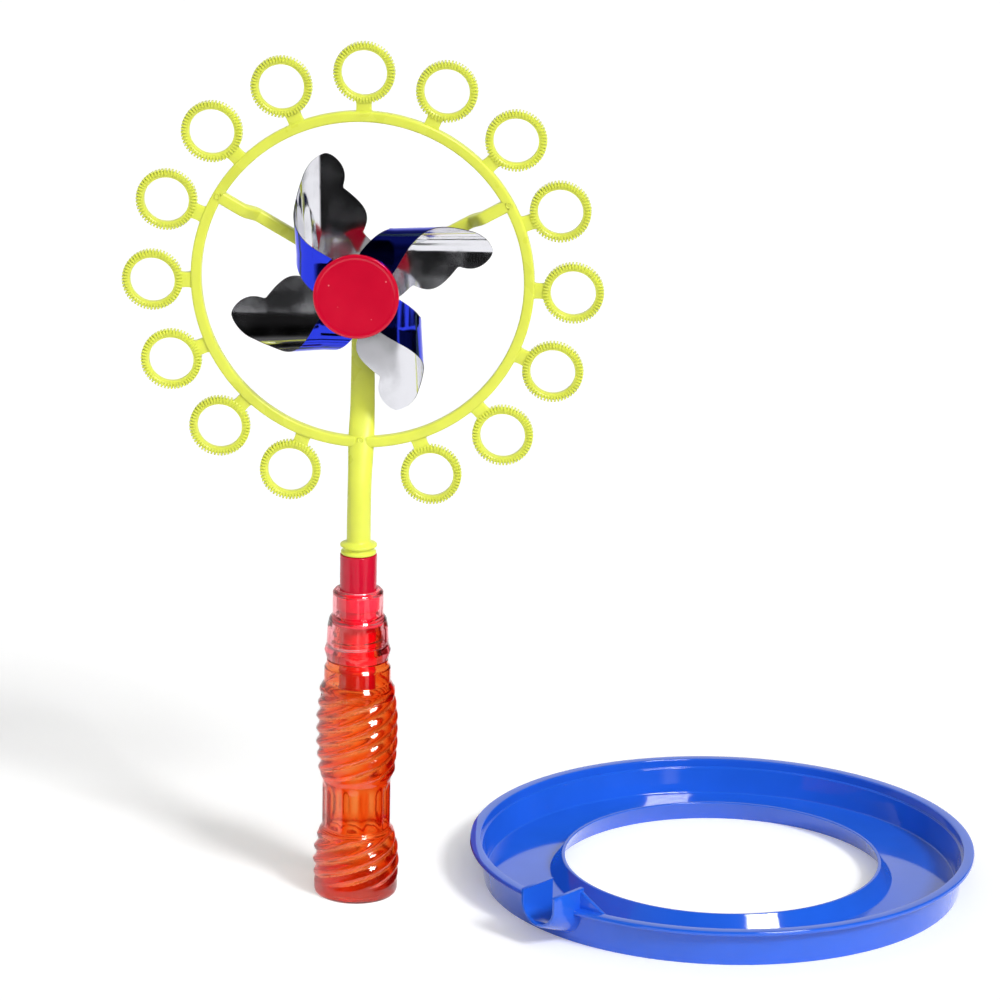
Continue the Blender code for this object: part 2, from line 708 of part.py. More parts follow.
def axle_pin():
    """Pin with a flat head behind the boss and a snap head inside the spool."""
    head = boss_faces()[1] + SEAM
    snap = pinwheel_levels()["spool"][0] + SNAP_CHAMBER_LENGTH - BEARING
    profile = [
        (PIN_RADIUS, snap - SNAP_HEAD_LENGTH),
        (SNAP_HEAD_RADIUS, snap - SNAP_HEAD_LENGTH / 2),
        (SNAP_HEAD_RADIUS, snap),
        (PIN_RADIUS, snap),
        (PIN_RADIUS, head),
        (PIN_HEAD_RADIUS, head),
        (PIN_HEAD_RADIUS, head + PIN_HEAD_LENGTH),
    ]
    return along_y(turned(profile, PIN_SEGMENTS))


def front_disc():
    """Flat disc with a raised rim and a plug that closes the spool's front end."""
    front, back = pinwheel_levels()["disc"]
    rim = DISC_RADIUS - DISC_RIM_WIDTH
    plug = SNAP_HEAD_RADIUS
    profile = [
        (rim - EDGE_SMALL, front + EDGE_FINE),
        (rim, front),
        (DISC_RADIUS - EDGE_SMALL, front),
        (DISC_RADIUS, front + EDGE_SMALL),
        (DISC_RADIUS, back - EDGE_FINE),
        (DISC_RADIUS - EDGE_FINE, back),
        (plug, back),
        (plug, back + DISC_PLUG_LENGTH),
    ]
    return along_y(turned(profile, DISC_SEGMENTS))


def blade_edges():
    """Edges of the flat blade: distance along the curl at each distance from the axle.

    The sheet starts at the back of the hub, curls forward and ends at the front of the hub. Its free edge
    has three scallops, its flap edge runs from the tip to the front and its root edge has a peak in the curl.
    """
    length = BLADE_LENGTH
    half_turn = BLADE_FLAT + math.pi * BLADE_CURL_RADIUS
    front = half_turn + BLADE_FLAT
    peak = BLADE_FLAT + BLADE_CURL_RADIUS * math.pi / 2
    hub = SPOOL_RADIUS + FOIL_THICKNESS + SEAM
    crest = hub + BLADE_CREST
    free = []
    low = hub
    for number, share in enumerate(BLADE_LOBE_ENDS):
        high = share * length
        for step in (0.0, 0.2, 0.4, 0.6, 0.8, 1.0):
            drift = BLADE_LOBE_DRIFTS[number] * (step ** 3 if share == 1.0 else max(0.0, 2 * step - 1.0))
            edge = BLADE_LOBE_BASES[number] + drift - BLADE_LOBE_DEPTHS[number] * math.sin(math.pi * step)
            free.append((low + (high - low) * step, edge))
        low = high
    flap = [
        (-BLADE_OVERHANG, front - 0.0080),
        (hub * 0.25, front - hub - SEAM),
        (hub * 0.8, front - hub * 0.68),
        (hub + 0.0041, front - 0.0046),
        (0.26 * length, front - 0.0082),
        (0.41 * length, half_turn - 0.0060),
        (0.61 * length, peak),
        (0.80 * length, BLADE_FLAT + 0.0105),
        (0.93 * length, BLADE_FLAT + 0.0080),
        (length, BLADE_FLAT + 0.0050),
    ]
    root_back = [(hub, hub * 0.9), (hub + 0.0028, 0.0090), (crest - 0.0015, peak - 0.0088), (crest, peak)]
    root_front = [
        (-BLADE_OVERHANG, front - 0.0085),
        (-0.0013, half_turn + 0.0020),
        (0.0015, half_turn - 0.0040),
        (crest, peak),
    ]
    return free, flap, root_back, root_front, crest, hub


def curl(along, out):
    """Point and normal of the bent sheet: x away from the curl, y along the axle, z along the blade."""
    turn = min(max((along - BLADE_FLAT) / BLADE_CURL_RADIUS, 0.0), math.pi)
    flat_back = min(along, BLADE_FLAT)
    flat_front = max(along - BLADE_FLAT - math.pi * BLADE_CURL_RADIUS, 0.0)
    side = flat_back + BLADE_CURL_RADIUS * math.sin(turn) - flat_front
    depth = BLADE_CURL_RADIUS * (1.0 - math.cos(turn))
    level = pinwheel_levels()["foil"]
    point = Vector((-side, level - depth, out))
    normal = Vector((math.sin(turn), -math.cos(turn), 0.0))
    return point, normal


def blade():
    """Curled foil blade as a thin solid, built from rows across the flat sheet."""
    free, flap, root_back, root_front, crest, hub = blade_edges()
    peak = root_back[-1][1]
    shape = bmesh.new()
    split = round(BLADE_COLUMNS * 0.6)

    def row(out, left, right, count):
        return [(left + (right - left) * i / count, out) for i in range(count + 1)]

    def crest_row():
        left = row(crest, follow(free, crest), peak, split)
        return left + row(crest, peak, follow(flap, crest), BLADE_COLUMNS - split)[1:]

    rises = [crest + (BLADE_LENGTH - crest) * i / BLADE_ROWS_OUTER for i in range(1, BLADE_ROWS_OUTER + 1)]
    outer = [crest_row()]
    for out in rises:
        left, right = follow(free, out), follow(flap, out)
        turn_in = left + (right - left) * split / BLADE_COLUMNS
        outer.append(row(out, left, turn_in, split) + row(out, turn_in, right, BLADE_COLUMNS - split)[1:])
    back = [outer[0][: split + 1]]
    fore = [outer[0][split:]]
    low = root_front[0][0]
    for i in range(1, BLADE_ROWS_INNER + 1):
        out = crest + (hub - crest) * i / BLADE_ROWS_INNER
        back.append(row(out, follow(free, out), follow(root_back, out), split))
        out = crest + (low - crest) * i / BLADE_ROWS_INNER
        fore.append(row(out, follow(root_front, out), follow(flap, out), BLADE_COLUMNS - split))

    corners = {}

    def corner(place):
        if place not in corners:
            point, normal = curl(*place)
            inside = shape.verts.new(point + normal * FOIL_THICKNESS / 2)
            outside = shape.verts.new(point - normal * FOIL_THICKNESS / 2)
            corners[place] = (inside, outside)
        return corners[place]

    borders = {}
    for block in (outer, back, fore):
        for near, far in zip(block, block[1:]):
            for i in range(len(near) - 1):
                loop = [near[i], near[i + 1], far[i + 1], far[i]]
                for layer in (0, 1):
                    shape.faces.new([corner(place)[layer] for place in loop])
                for a, b in zip(loop, loop[1:] + loop[:1]):
                    key = frozenset((a, b))
                    borders[key] = borders.get(key, 0) + 1
    for key, uses in borders.items():
        if uses == 1:
            a, b = key
            shape.faces.new((corner(a)[0], corner(b)[0], corner(b)[1], corner(a)[1]))
    return shape


def tray_channel():
    """Ring-shaped channel with a stepped outer wall, a flat rim and a lower sloping inner wall."""
    foot = TRAY_BASE_RADIUS
    top = foot + TRAY_DRAFT
    edge = top - TRAY_WALL / 2 + TRAY_RIM_WIDTH
    ledge = TRAY_HEIGHT - TRAY_LEDGE_DEPTH
    inside = top - TRAY_WALL / 2
    inner_top = TRAY_INNER_RIM_RADIUS
    inner_foot = TRAY_INNER_RIM_RADIUS + TRAY_INNER_SLOPE
    outline = [
        (foot, 0.0),
        (top, TRAY_HEIGHT - TRAY_RIM_DROP),
        (edge - EDGE_SMALL, TRAY_HEIGHT - TRAY_RIM_DROP),
        (edge, TRAY_HEIGHT - TRAY_RIM_DROP + EDGE_SMALL),
        (edge - EDGE_FINE, TRAY_HEIGHT),
        (inside + EDGE_FINE, TRAY_HEIGHT),
        (inside, ledge + EDGE_FINE),
        (inside - TRAY_LEDGE_WIDTH, ledge),
        (foot - TRAY_WALL, TRAY_WALL),
        (inner_foot + TRAY_WALL, TRAY_WALL),
        (inner_top + TRAY_WALL, TRAY_INNER_RIM_HEIGHT),
        (inner_top, TRAY_INNER_RIM_HEIGHT),
        (inner_foot, 0.0),
    ]
    return turned_ring(outline, TRAY_SEGMENTS)


def lip_section(half_width, floor, top):
    """U-shaped outline, from one top corner down round the floor and up to the other."""
    centre = floor + half_width
    points = [(half_width, top)]
    for index in range(LIP_ARC_STEPS + 1):
        angle = -math.pi * index / LIP_ARC_STEPS
        points.append((half_width * math.cos(angle), centre + half_width * math.sin(angle)))
    points.append((-half_width, top))
    return points


def lip_place(reach, across, height):
    """Point of the pouring lip from its reach along the lip, offset across it and height."""
    out = Vector((math.cos(LIP_ANGLE), math.sin(LIP_ANGLE), 0.0))
    side = Vector((-math.sin(LIP_ANGLE), math.cos(LIP_ANGLE), 0.0))
    return out * reach + side * across + Vector((0.0, 0.0, height))


def lip_trough():
    """Half-pipe from the wall out to the tip, with its floor rising."""
    root = TRAY_BASE_RADIUS - TRAY_WALL / 2
    rings = []
    for reach, floor in ((root, LIP_ROOT_FLOOR), (root + LIP_LENGTH, LIP_TIP_FLOOR)):
        outside = lip_section(LIP_HALF_WIDTH, floor, LIP_TOP)
        inside = lip_section(LIP_HALF_WIDTH - TRAY_WALL, floor + TRAY_WALL, LIP_TOP)
        rings.append([lip_place(reach, a, z) for a, z in outside + inside[::-1]])
    return loft(rings)


def lip_notch():
    """Cut through the wall and rim, inside the half-pipe."""
    section = lip_section(LIP_HALF_WIDTH - TRAY_WALL, LIP_ROOT_FLOOR + TRAY_WALL, 2 * LIP_TOP)
    low = TRAY_BASE_RADIUS - 3 * TRAY_WALL
    high = TRAY_BASE_RADIUS + TRAY_RIM_WIDTH + 2 * TRAY_WALL
    rise = (LIP_TIP_FLOOR - LIP_ROOT_FLOOR) / LIP_LENGTH
    rings = []
    for reach in (low, (low + high) / 2, high):
        lift = max(0.0, reach - TRAY_BASE_RADIUS + TRAY_WALL / 2) * rise
        rings.append([lip_place(reach, a, z + (lift if z < LIP_TOP else 0.0)) for a, z in section])
    return loft(rings)


def lip_fin(side):
    """Sloping rib on the wall from the rim up to one side of the half-pipe."""
    inner = TRAY_BASE_RADIUS + TRAY_DRAFT - TRAY_WALL
    outer = TRAY_BASE_RADIUS + TRAY_DRAFT
    start = math.asin((LIP_HALF_WIDTH - TRAY_WALL / 2) / inner)
    low = TRAY_HEIGHT - TRAY_LEDGE_DEPTH / 2
    rings = []
    for share in (0.0, 0.5, 1.0):
        angle = LIP_ANGLE + side * (start + LIP_FIN_ANGLE * share)
        top = LIP_TOP - SEAM + (TRAY_HEIGHT - TRAY_WALL / 4 - LIP_TOP) * share
        corners = ((inner, low), (outer, low), (outer, top), (inner, top))
        rings.append([(r * math.cos(angle), r * math.sin(angle), z) for r, z in corners])
    return loft(rings)


def build():
    """Build every piece on the pivot that it moves with."""
    clear_scene()
    red_shell = finish("translucent red bottle plastic", (0.72, 0.05, 0.03), 0.12, alpha=0.75)
    red_cap = finish("translucent red cap plastic", (0.70, 0.06, 0.09), 0.15, alpha=0.85)
    red = finish("opaque red plastic", (0.68, 0.01, 0.03), 0.28)
    solution = finish("bubble solution", (0.85, 0.30, 0.10), 0.05, alpha=0.6)
    rubber = finish("white seal rubber", (0.75, 0.75, 0.72), 0.6)
    yellow = finish("yellow plastic", (0.78, 0.88, 0.06), 0.32)
    steel = finish("steel", (0.56, 0.56, 0.57), 0.3, metallic=1.0)
    white = finish("white plastic", (0.80, 0.80, 0.78), 0.4)
    foil = finish("blue metallised foil", (0.06, 0.08, 0.55), 0.18, metallic=1.0)
    blue = finish("blue plastic", (0.03, 0.10, 0.75), 0.2)

    bottle_pivot = pivot("bottle_pivot", (0.0, 0.0, 0.0))
    wand_pivot = pivot("wand_pivot", (0.0, 0.0, 0.0), bottle_pivot)
    hub_pivot = pivot("hub_pivot", (0.0, 0.0, HUB_HEIGHT), wand_pivot)
    hoop_centre = pivot("hoop_centre", (0.0, HOOP_Y, 0.0), hub_pivot)
    tray_pivot = pivot("tray_pivot", TRAY_CENTRE)

    shell = add("handle_bottle", bottle(), red_shell, bottle_pivot)
    ridge = thread_ridge(FINISH_RADIUS, THREAD_HEIGHT, THREAD_START, THREAD_TURNS)
    combine(shell, "bottle_thread", ridge, "UNION")
    add("bubble_solution", liquid(), solution, bottle_pivot)
    add("cap_seal", seal(), rubber, wand_pivot)

    closure = add("screw_cap", cap(), red_cap, wand_pivot)
    start = THREAD_START - THREAD_PITCH / 2
    ridge = thread_ridge(cap_bore_radius(), -THREAD_HEIGHT, start, CAP_THREAD_TURNS)
    combine(closure, "cap_thread", ridge, "UNION")
    add("stem_socket", socket(), red, wand_pivot)

    post = add("wand_stem", stem(), yellow, wand_pivot)
    combine(post, "axle_boss", boss(), "UNION")
    combine(post, "axle_bore", boss_bore(), "DIFFERENCE")
    for name, angle in ARM_ANGLES.items():
        piece = add(name, arm(), yellow, hub_pivot)
        piece.rotation_euler = (0.0, -angle, 0.0)
    add("frame_hoop", hoop(), yellow, hoop_centre)
    ring = to_mesh("bubble_loop", bubble_loop())
    for index in range(LOOP_COUNT):
        angle = math.pi / 2 + LOOP_STEP * (index - (LOOP_COUNT - 1) / 2)
        piece = add(f"bubble_loop_{index + 1:02d}", ring, yellow, hoop_centre)
        piece.location = (LOOP_CIRCLE_RADIUS * math.cos(angle), 0.0, LOOP_CIRCLE_RADIUS * math.sin(angle))
        piece.rotation_euler = (0.0, -angle, 0.0)

    levels = pinwheel_levels()
    add("axle_pin", axle_pin(), steel, hub_pivot)
    add("spacer_bead", pierced_disc(BEAD_RADIUS, levels["bead"]), white, hub_pivot)
    add("rear_washer", pierced_disc(WASHER_RADIUS, levels["washer"]), white, hub_pivot)
    add("hub_spool", spool(), white, hub_pivot)
    sail = to_mesh("foil_blade", blade())
    for index in range(BLADE_COUNT):
        piece = add(f"foil_blade_{index + 1}", sail, foil, hub_pivot)
        piece.rotation_euler = (0.0, math.tau * index / BLADE_COUNT, 0.0)
    add("front_disc", front_disc(), red, hub_pivot)

    tray = add("pouring_tray", tray_channel(), blue, tray_pivot)
    combine(tray, "lip_notch", lip_notch(), "DIFFERENCE")
    combine(tray, "lip_trough", lip_trough(), "UNION")
    combine(tray, "lip_fin_left", lip_fin(-1.0), "UNION")
    combine(tray, "lip_fin_right", lip_fin(1.0), "UNION")


build()
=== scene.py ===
"""Bubble windmill: the looks of its bottle, wand, pinwheel and tray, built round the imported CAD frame."""

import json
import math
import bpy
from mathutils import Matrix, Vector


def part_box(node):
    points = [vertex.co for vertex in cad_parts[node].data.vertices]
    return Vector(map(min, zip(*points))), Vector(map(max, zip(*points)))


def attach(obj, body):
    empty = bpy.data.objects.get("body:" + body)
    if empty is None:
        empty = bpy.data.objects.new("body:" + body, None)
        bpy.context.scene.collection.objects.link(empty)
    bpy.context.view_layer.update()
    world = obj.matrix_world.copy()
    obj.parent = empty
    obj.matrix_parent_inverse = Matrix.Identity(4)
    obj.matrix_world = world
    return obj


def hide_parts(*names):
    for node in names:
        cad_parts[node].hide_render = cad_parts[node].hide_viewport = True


bl_info = {
    "name": "Bubble windmill",
    "version": (1, 0, 0),
    "blender": (4, 5, 0),
    "location": "View3D > Sidebar > Windmill",
    "description": "Builds the bottle, wand, pinwheel, pouring tray and studio of a bubble windmill",
    "category": "Object",
}

import bmesh
import bpy
from mathutils import Matrix, Vector

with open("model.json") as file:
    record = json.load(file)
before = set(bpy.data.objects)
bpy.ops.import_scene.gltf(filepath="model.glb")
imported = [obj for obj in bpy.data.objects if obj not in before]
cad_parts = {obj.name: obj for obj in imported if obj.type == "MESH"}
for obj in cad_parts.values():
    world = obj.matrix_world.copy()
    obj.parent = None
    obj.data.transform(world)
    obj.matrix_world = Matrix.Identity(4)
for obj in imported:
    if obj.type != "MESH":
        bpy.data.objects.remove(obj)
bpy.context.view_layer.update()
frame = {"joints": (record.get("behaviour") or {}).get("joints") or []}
HUB = Vector(next(j["pos_m"] for j in frame["joints"] if j["name"] == "pinwheel_spin"))
TRAY_LOW, TRAY_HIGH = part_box("pouring_tray")
TRAY_MIDDLE = (TRAY_LOW + TRAY_HIGH) / 2
MM = 0.001
AXLE = (0.0, 0.0, HUB.z)

# Share of the ribs' depth that shows on the inside of the bottle
INNER_RIBS = 0.3
# The bottle's finish inside the cap, and the thread's ridge on it and in the cap
FINISH_RADIUS = 9.7 * MM
RIDGE_HEIGHT, RIDGE_WIDTH = 0.6 * MM, 1.5 * MM
# How far the arms and the stem's top stand behind the hoop
BACKSET = 5.6 * MM
# Radius of the holes round the axle pin
PIN_BORE = 1.3 * MM
# Depth of the tray's rim, and the floor of its pouring lip at the wall and how far it climbs to the tip
RIM_DROP = 1.8 * MM
LIP_FLOOR, LIP_CLIMB = 3.0 * MM, 7.0 * MM
# Smallest radius of an outline that closes on its axis, and of the bottle's
POLE, BASE_POLE = 0.3 * MM, 0.4 * MM
# Longest step between two points of a wall that ribs are pressed into
WALL_STEP = 0.6 * MM
# Facets round the bottle
ROUND = 144
OPAQUE_WHITE = (1.0, 1.0, 1.0, 1.0)


def linear(code):
    """Turn an sRGB hex colour into linear RGB."""
    parts = [int(code[i:i + 2], 16) / 255 for i in (1, 3, 5)]
    return tuple(c / 12.92 if c <= 0.04045 else ((c + 0.055) / 1.055) ** 2.4 for c in parts)


def length(label, millimetres, note):
    """A length property, given in millimetres and kept in metres."""
    return bpy.props.FloatProperty(
        name=label, description=note, default=millimetres * MM, precision=5, step=0.01, unit="LENGTH"
    )


def count(label, number, note):
    """A whole-number property."""
    return bpy.props.IntProperty(name=label, description=note, default=number, min=1)


def colour(label, code, note):
    """A colour property, given as an sRGB hex value."""
    return bpy.props.FloatVectorProperty(
        name=label, description=note, default=linear(code), subtype="COLOR", min=0.0, max=1.0
    )


class BottleSizes(bpy.types.PropertyGroup):
    """Sizes of the blown bottle and its fill."""

    base_radius: length("Base radius", 17.0, "Radius of the plain band above the base")
    low_radius: length("Lower grip radius", 17.6, "Largest radius of the lower swirled grip")
    low_top: length("Lower grip top", 27.5, "Height where the lower grip ends")
    waist_radius: length("Waist radius", 13.8, "Radius of the fluted waist")
    waist_top: length("Waist top", 50.0, "Height where the waist ends")
    high_radius: length("Upper grip radius", 16.55, "Largest radius of the upper swirled grip")
    shoulder: length("Shoulder height", 89.5, "Height of the shoulder")
    collar_radius: length("Collar radius", 13.4, "Radius of the collar under the cap")
    lip: length("Lip height", 115.0, "Height of the bottle's lip, inside the cap")
    wall: length("Wall", 1.5, "Wall thickness at a rib's crest")
    swirl_starts: count("Swirl starts", 6, "Ribs round a swirled grip")
    swirl_lead: length("Swirl lead", 33.6, "Height in which a rib goes once round")
    swirl_depth: length("Swirl depth", 1.4, "Depth of the grooves between the ribs")
    flutes: count("Flutes", 10, "Hollows round the waist")
    flute_depth: length("Flute depth", 1.1, "Depth of the hollows")
    level: length("Fill level", 84.5, "Height of the bubble solution")


class ClosureSizes(bpy.types.PropertyGroup):
    """Sizes of the screw cap, its seal and the stem's socket."""

    seat: length("Cap seat", 100.5, "Height of the cap's lower edge")
    bead_radius: length("Bead radius", 13.4, "Largest radius of the cap")
    skirt_radius: length("Skirt radius", 12.2, "Outer radius of the cap's skirt")
    step_radius: length("Step radius", 10.2, "Outer radius of the cap's upper step")
    cap_top: length("Cap top", 129.4, "Height of the cap's top")
    socket_radius: length("Socket radius", 7.4, "Outer radius of the stem's socket")
    socket_top: length("Socket top", 144.0, "Height of the socket's upper edge")
    thread_pitch: length("Thread pitch", 3.6, "Pitch of the screw thread")


class WandSizes(bpy.types.PropertyGroup):
    """Sizes of the stem, arms and hoop."""

    hoop_y: length("Hoop plane", 6.0, "Middle plane of the hoop and loops")
    hoop_inner: length("Hoop inner radius", 63.8, "Inner radius of the hoop")
    hoop_width: length("Hoop width", 4.2, "Radial width of the hoop")
    thickness: length("Thickness", 4.4, "Thickness of hoop and arms")
    arm_width: length("Arm width", 4.8, "Width of an arm")
    arm_angle: bpy.props.FloatProperty(
        name="Arm angle", description="Rise of the two arms", default=math.radians(29.5), subtype="ANGLE"
    )
    edge: length("Edge", 0.9, "Rounding of the moulded edges")


class LoopSizes(bpy.types.PropertyGroup):
    """Sizes of the ribbed bubble loops."""

    loops: count("Loops", 15, "Bubble loops round the hoop")
    step: bpy.props.FloatProperty(
        name="Loop step", description="Angle between two loops", default=math.radians(22.89), subtype="ANGLE"
    )
    circle: length("Loop circle", 83.3, "Radius of the circle through the loops' centres")
    hole: length("Hole radius", 8.9, "Radius of a loop's hole")
    band: length("Band", 1.2, "Radial width of the plain inner ring")
    rib_tip: length("Rib tip radius", 12.1, "Radius that the ribs reach")
    ribs: count("Ribs", 54, "Ribs round one loop")
    rib_width: length("Rib width", 0.86, "Width of a rib at its foot")
    web_width: length("Web width", 6.0, "Width of the web between loop and hoop")


class PinwheelSizes(bpy.types.PropertyGroup):
    """Sizes of the foil pinwheel and its hub."""

    blades: count("Blades", 4, "Foil blades")
    blade_length: length("Blade length", 51.5, "Reach of a blade from the axle")
    flat: length("Flat", 13.5, "Flat width of a blade on each side of its curl")
    curl: length("Curl radius", 11.0, "Radius of the curl")
    foil: length("Foil", 0.3, "Thickness of the foil")
    flare: bpy.props.FloatProperty(
        name="Flare", description="Growth of the curl's radius per length towards the tip", default=0.075
    )
    disc_radius: length("Disc radius", 16.8, "Radius of the front disc")


class TraySizes(bpy.types.PropertyGroup):
    """Sizes of the ring-shaped pouring tray."""

    foot: length("Foot radius", 98.1, "Outer radius at the table")
    height: length("Height", 16.0, "Height of the outer rim")
    wall: length("Wall", 1.5, "Wall thickness")
    rim: length("Rim width", 4.6, "Width of the outer rim")
    inner_rim: length("Inner rim radius", 64.2, "Radius of the inner rim's edge")
    inner_height: length("Inner rim height", 8.8, "Height of the inner rim")
    lip_half: length("Lip half width", 8.9, "Half the width of the pouring lip")
    lip_length: length("Lip length", 17.5, "Length of the pouring lip")
    lip_top: length("Lip top", 24.0, "Height of the pouring lip")
    lip_angle: bpy.props.FloatProperty(
        name="Lip angle", description="Direction of the lip", default=math.radians(-128.0), subtype="ANGLE"
    )


class FinishColours(bpy.types.PropertyGroup):
    """Colours of the moulded plastics and foils."""

    yellow: colour("Yellow", "#E8EF5A", "Wand frame")
    red: colour("Red", "#D20A30", "Socket and front disc")
    blue: colour("Blue", "#2262DE", "Pouring tray")
    silver: colour("Silver", "#E6E6EC", "Inside of the foil")
    foil_blue: colour("Foil blue", "#2E3EDC", "Outside of the foil")
    film_edge: colour("Film edge", "#12121E", "Cut edge of the foil")
    white: colour("White", "#ECECE6", "Hub parts")
    steel: colour("Steel", "#B9BCC0", "Axle pin")
    liner: colour("Liner", "#B8182E", "Cap seal")
    paper: colour("Paper", "#F7F7F7", "Studio floor")


def feed(tree, node, feeds):
    """Fill a node's inputs; feeds maps an input's name or number to a node, a socket or a value."""
    for key, source in feeds.items():
        if isinstance(source, bpy.types.Node):
            source = source.outputs[0]
        if isinstance(source, bpy.types.NodeSocket):
            tree.links.new(source, node.inputs[key])
        else:
            node.inputs[key].default_value = source


def put(tree, kind, feeds=None, **settings):
    """Add a node with its settings and what feeds its inputs."""
    node = tree.nodes.new(kind)
    for key, value in settings.items():
        setattr(node, key, value)
    feed(tree, node, feeds or {})
    return node


def rounded(corners, closed=False, steps=5):
    """Points of an outline whose corners (a, b, radius) are rounded off."""
    points = []
    total = len(corners)
    for index, (a, b, radius) in enumerate(corners):
        here = Vector((a, b))
        if radius == 0.0 or (not closed and index in (0, total - 1)):
            points.append(here)
            continue
        before = Vector(corners[index - 1][:2]) - here
        after = Vector(corners[(index + 1) % total][:2]) - here
        reach = radius / math.tan(before.angle(after) / 2)
        start = here + before.normalized() * min(reach, before.length * 0.48)
        end = here + after.normalized() * min(reach, after.length * 0.48)
        for step in range(steps + 1):
            t = step / steps
            points.append(start * (1 - t) ** 2 + here * (2 * t * (1 - t)) + end * t ** 2)
    return points


def oblong(low, high, bottom, top, near, far=None):
    """Corners of a rectangle, rounded by one radius on its low side and another on its high side."""
    far = near if far is None else far
    return [(low, bottom, near), (high, bottom, far), (high, top, far), (low, top, near)]


def dense(points, spacing):
    """The same open outline with points at most one spacing apart."""
    result = [points[0]]
    for left, right in zip(points, points[1:]):
        parts = max(1, math.ceil((right - left).length / spacing))
        result += [left.lerp(right, part / parts) for part in range(1, parts + 1)]
    return result


def smooth(points, value):
    """Smooth curve through (value, result) pairs in rising order."""
    last = len(points) - 1
    index = next((i for i in range(last) if value <= points[i + 1][0]), last - 1)

    def slope(i):
        low, high = points[max(i - 1, 0)], points[min(i + 1, last)]
        return (high[1] - low[1]) / (high[0] - low[0])

    (left, low), (right, high) = points[index], points[index + 1]
    span = right - left
    t = min(max((value - left) / span, 0.0), 1.0)
    rise = low * (1 + 2 * t) * (1 - t) ** 2 + high * t * t * (3 - 2 * t)
    return rise + span * (slope(index) * t * (1 - t) ** 2 - slope(index + 1) * t * t * (1 - t))


def skin(shape, rows, ring=True, loop=False, caps=False):
    """Bridge rows of points in a bmesh; ring closes each row, loop joins the last row to the first."""
    rows = [[shape.verts.new(point) for point in row] for row in rows]
    if caps:
        shape.faces.new(rows[0][::-1])
        shape.faces.new(rows[-1])
    if loop:
        rows.append(rows[0])
    for near, far in zip(rows, rows[1:]):
        total = len(near)
        for i in range(total if ring else total - 1):
            j = (i + 1) % total
            shape.faces.new((near[i], near[j], far[j], far[i]))
    return shape


def turned(shape, outline, steps, along="Z", middle=(0.0, 0.0, 0.0), closed=True):
    """Turn a (radius, height) outline round an axis; a closed outline stays off the axis."""
    angles = [math.tau * i / steps for i in range(steps)]
    middle = Vector(middle)
    rows = []
    for radius, height in outline:
        if along == "Z":
            ring = [Vector((radius * math.cos(a), radius * math.sin(a), height)) for a in angles]
        else:
            ring = [Vector((radius * math.cos(a), height, -radius * math.sin(a))) for a in angles]
        rows.append([middle + point for point in ring])
    return skin(shape, rows, loop=closed, caps=not closed)


def helix(shape, radius, height, start, turns, pitch):
    """Thread ridge on a cylinder, faded out at both ends; a negative height points it inwards."""
    a_turn, runout = 48, 8
    steps = round(turns * a_turn)
    rows = []
    for index in range(steps + 1):
        angle = math.tau * index / a_turn
        fade = min(1.0, index / runout + 0.05, (steps - index) / runout + 0.05)
        foot = radius - height * 0.3
        crest = radius + height * fade
        section = ((foot, -0.5), (crest, -0.22), (crest, 0.22), (foot, 0.5))
        level = start + pitch * index / a_turn
        rows.append([(r * math.cos(angle), r * math.sin(angle), level + z * RIDGE_WIDTH) for r, z in section])
    return skin(shape, rows, caps=True)


def to_mesh(name, shape, sharp=40.0):
    """Turn a bmesh into a smooth-shaded mesh whose faces point outwards."""
    bmesh.ops.recalc_face_normals(shape, faces=shape.faces)
    mesh = bpy.data.meshes.new(name)
    shape.to_mesh(mesh)
    shape.free()
    mesh.shade_smooth()
    mesh.set_sharp_from_angle(angle=math.radians(sharp))
    return mesh


def draft(name, mesh):
    """Put a mesh into the scene as an object that isn't finished yet."""
    item = bpy.data.objects.new(name, mesh)
    bpy.context.scene.collection.objects.link(item)
    return item


def settle(item):
    """Replace an object's mesh by its evaluated one and drop its modifiers."""
    graph = bpy.context.evaluated_depsgraph_get()
    mesh = bpy.data.meshes.new_from_object(item.evaluated_get(graph))
    item.modifiers.clear()
    item.data = mesh
    return item


def seat(item, finishes, body, slot, *nodes):
    """Give a finished piece its materials and the body it rides on, and hide the nodes it stands for; slot is not
    used.
    """
    item.data.materials.clear()
    for material in finishes:
        item.data.materials.append(material)
    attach(item, body)
    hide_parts(*nodes)
    return item


def piece(name, shape, finishes, body, slot, *nodes):
    """Finish a bmesh as a piece."""
    return seat(draft(name, to_mesh(name, shape)), finishes, body, slot, *nodes)


def start_tree(name, sockets):
    """Start a Geometry Nodes tree with one geometry in and out and named inputs (name, kind)."""
    tree = bpy.data.node_groups.new(name, "GeometryNodeTree")
    tree.is_modifier = True
    for flow in ("INPUT", "OUTPUT"):
        tree.interface.new_socket("Geometry", in_out=flow, socket_type="NodeSocketGeometry")
    for label, kind in sockets:
        tree.interface.new_socket(label, in_out="INPUT", socket_type="NodeSocket" + kind)
    return tree, put(tree, "NodeGroupInput").outputs


def grow(item, tree, values):
    """Put a Geometry Nodes tree on an object, with values for its named inputs."""
    modifier = item.modifiers.new(tree.name, "NODES")
    modifier.node_group = tree
    for entry in tree.interface.items_tree:
        if entry.in_out == "INPUT" and entry.name in values:
            modifier[entry.identifier] = values[entry.name]


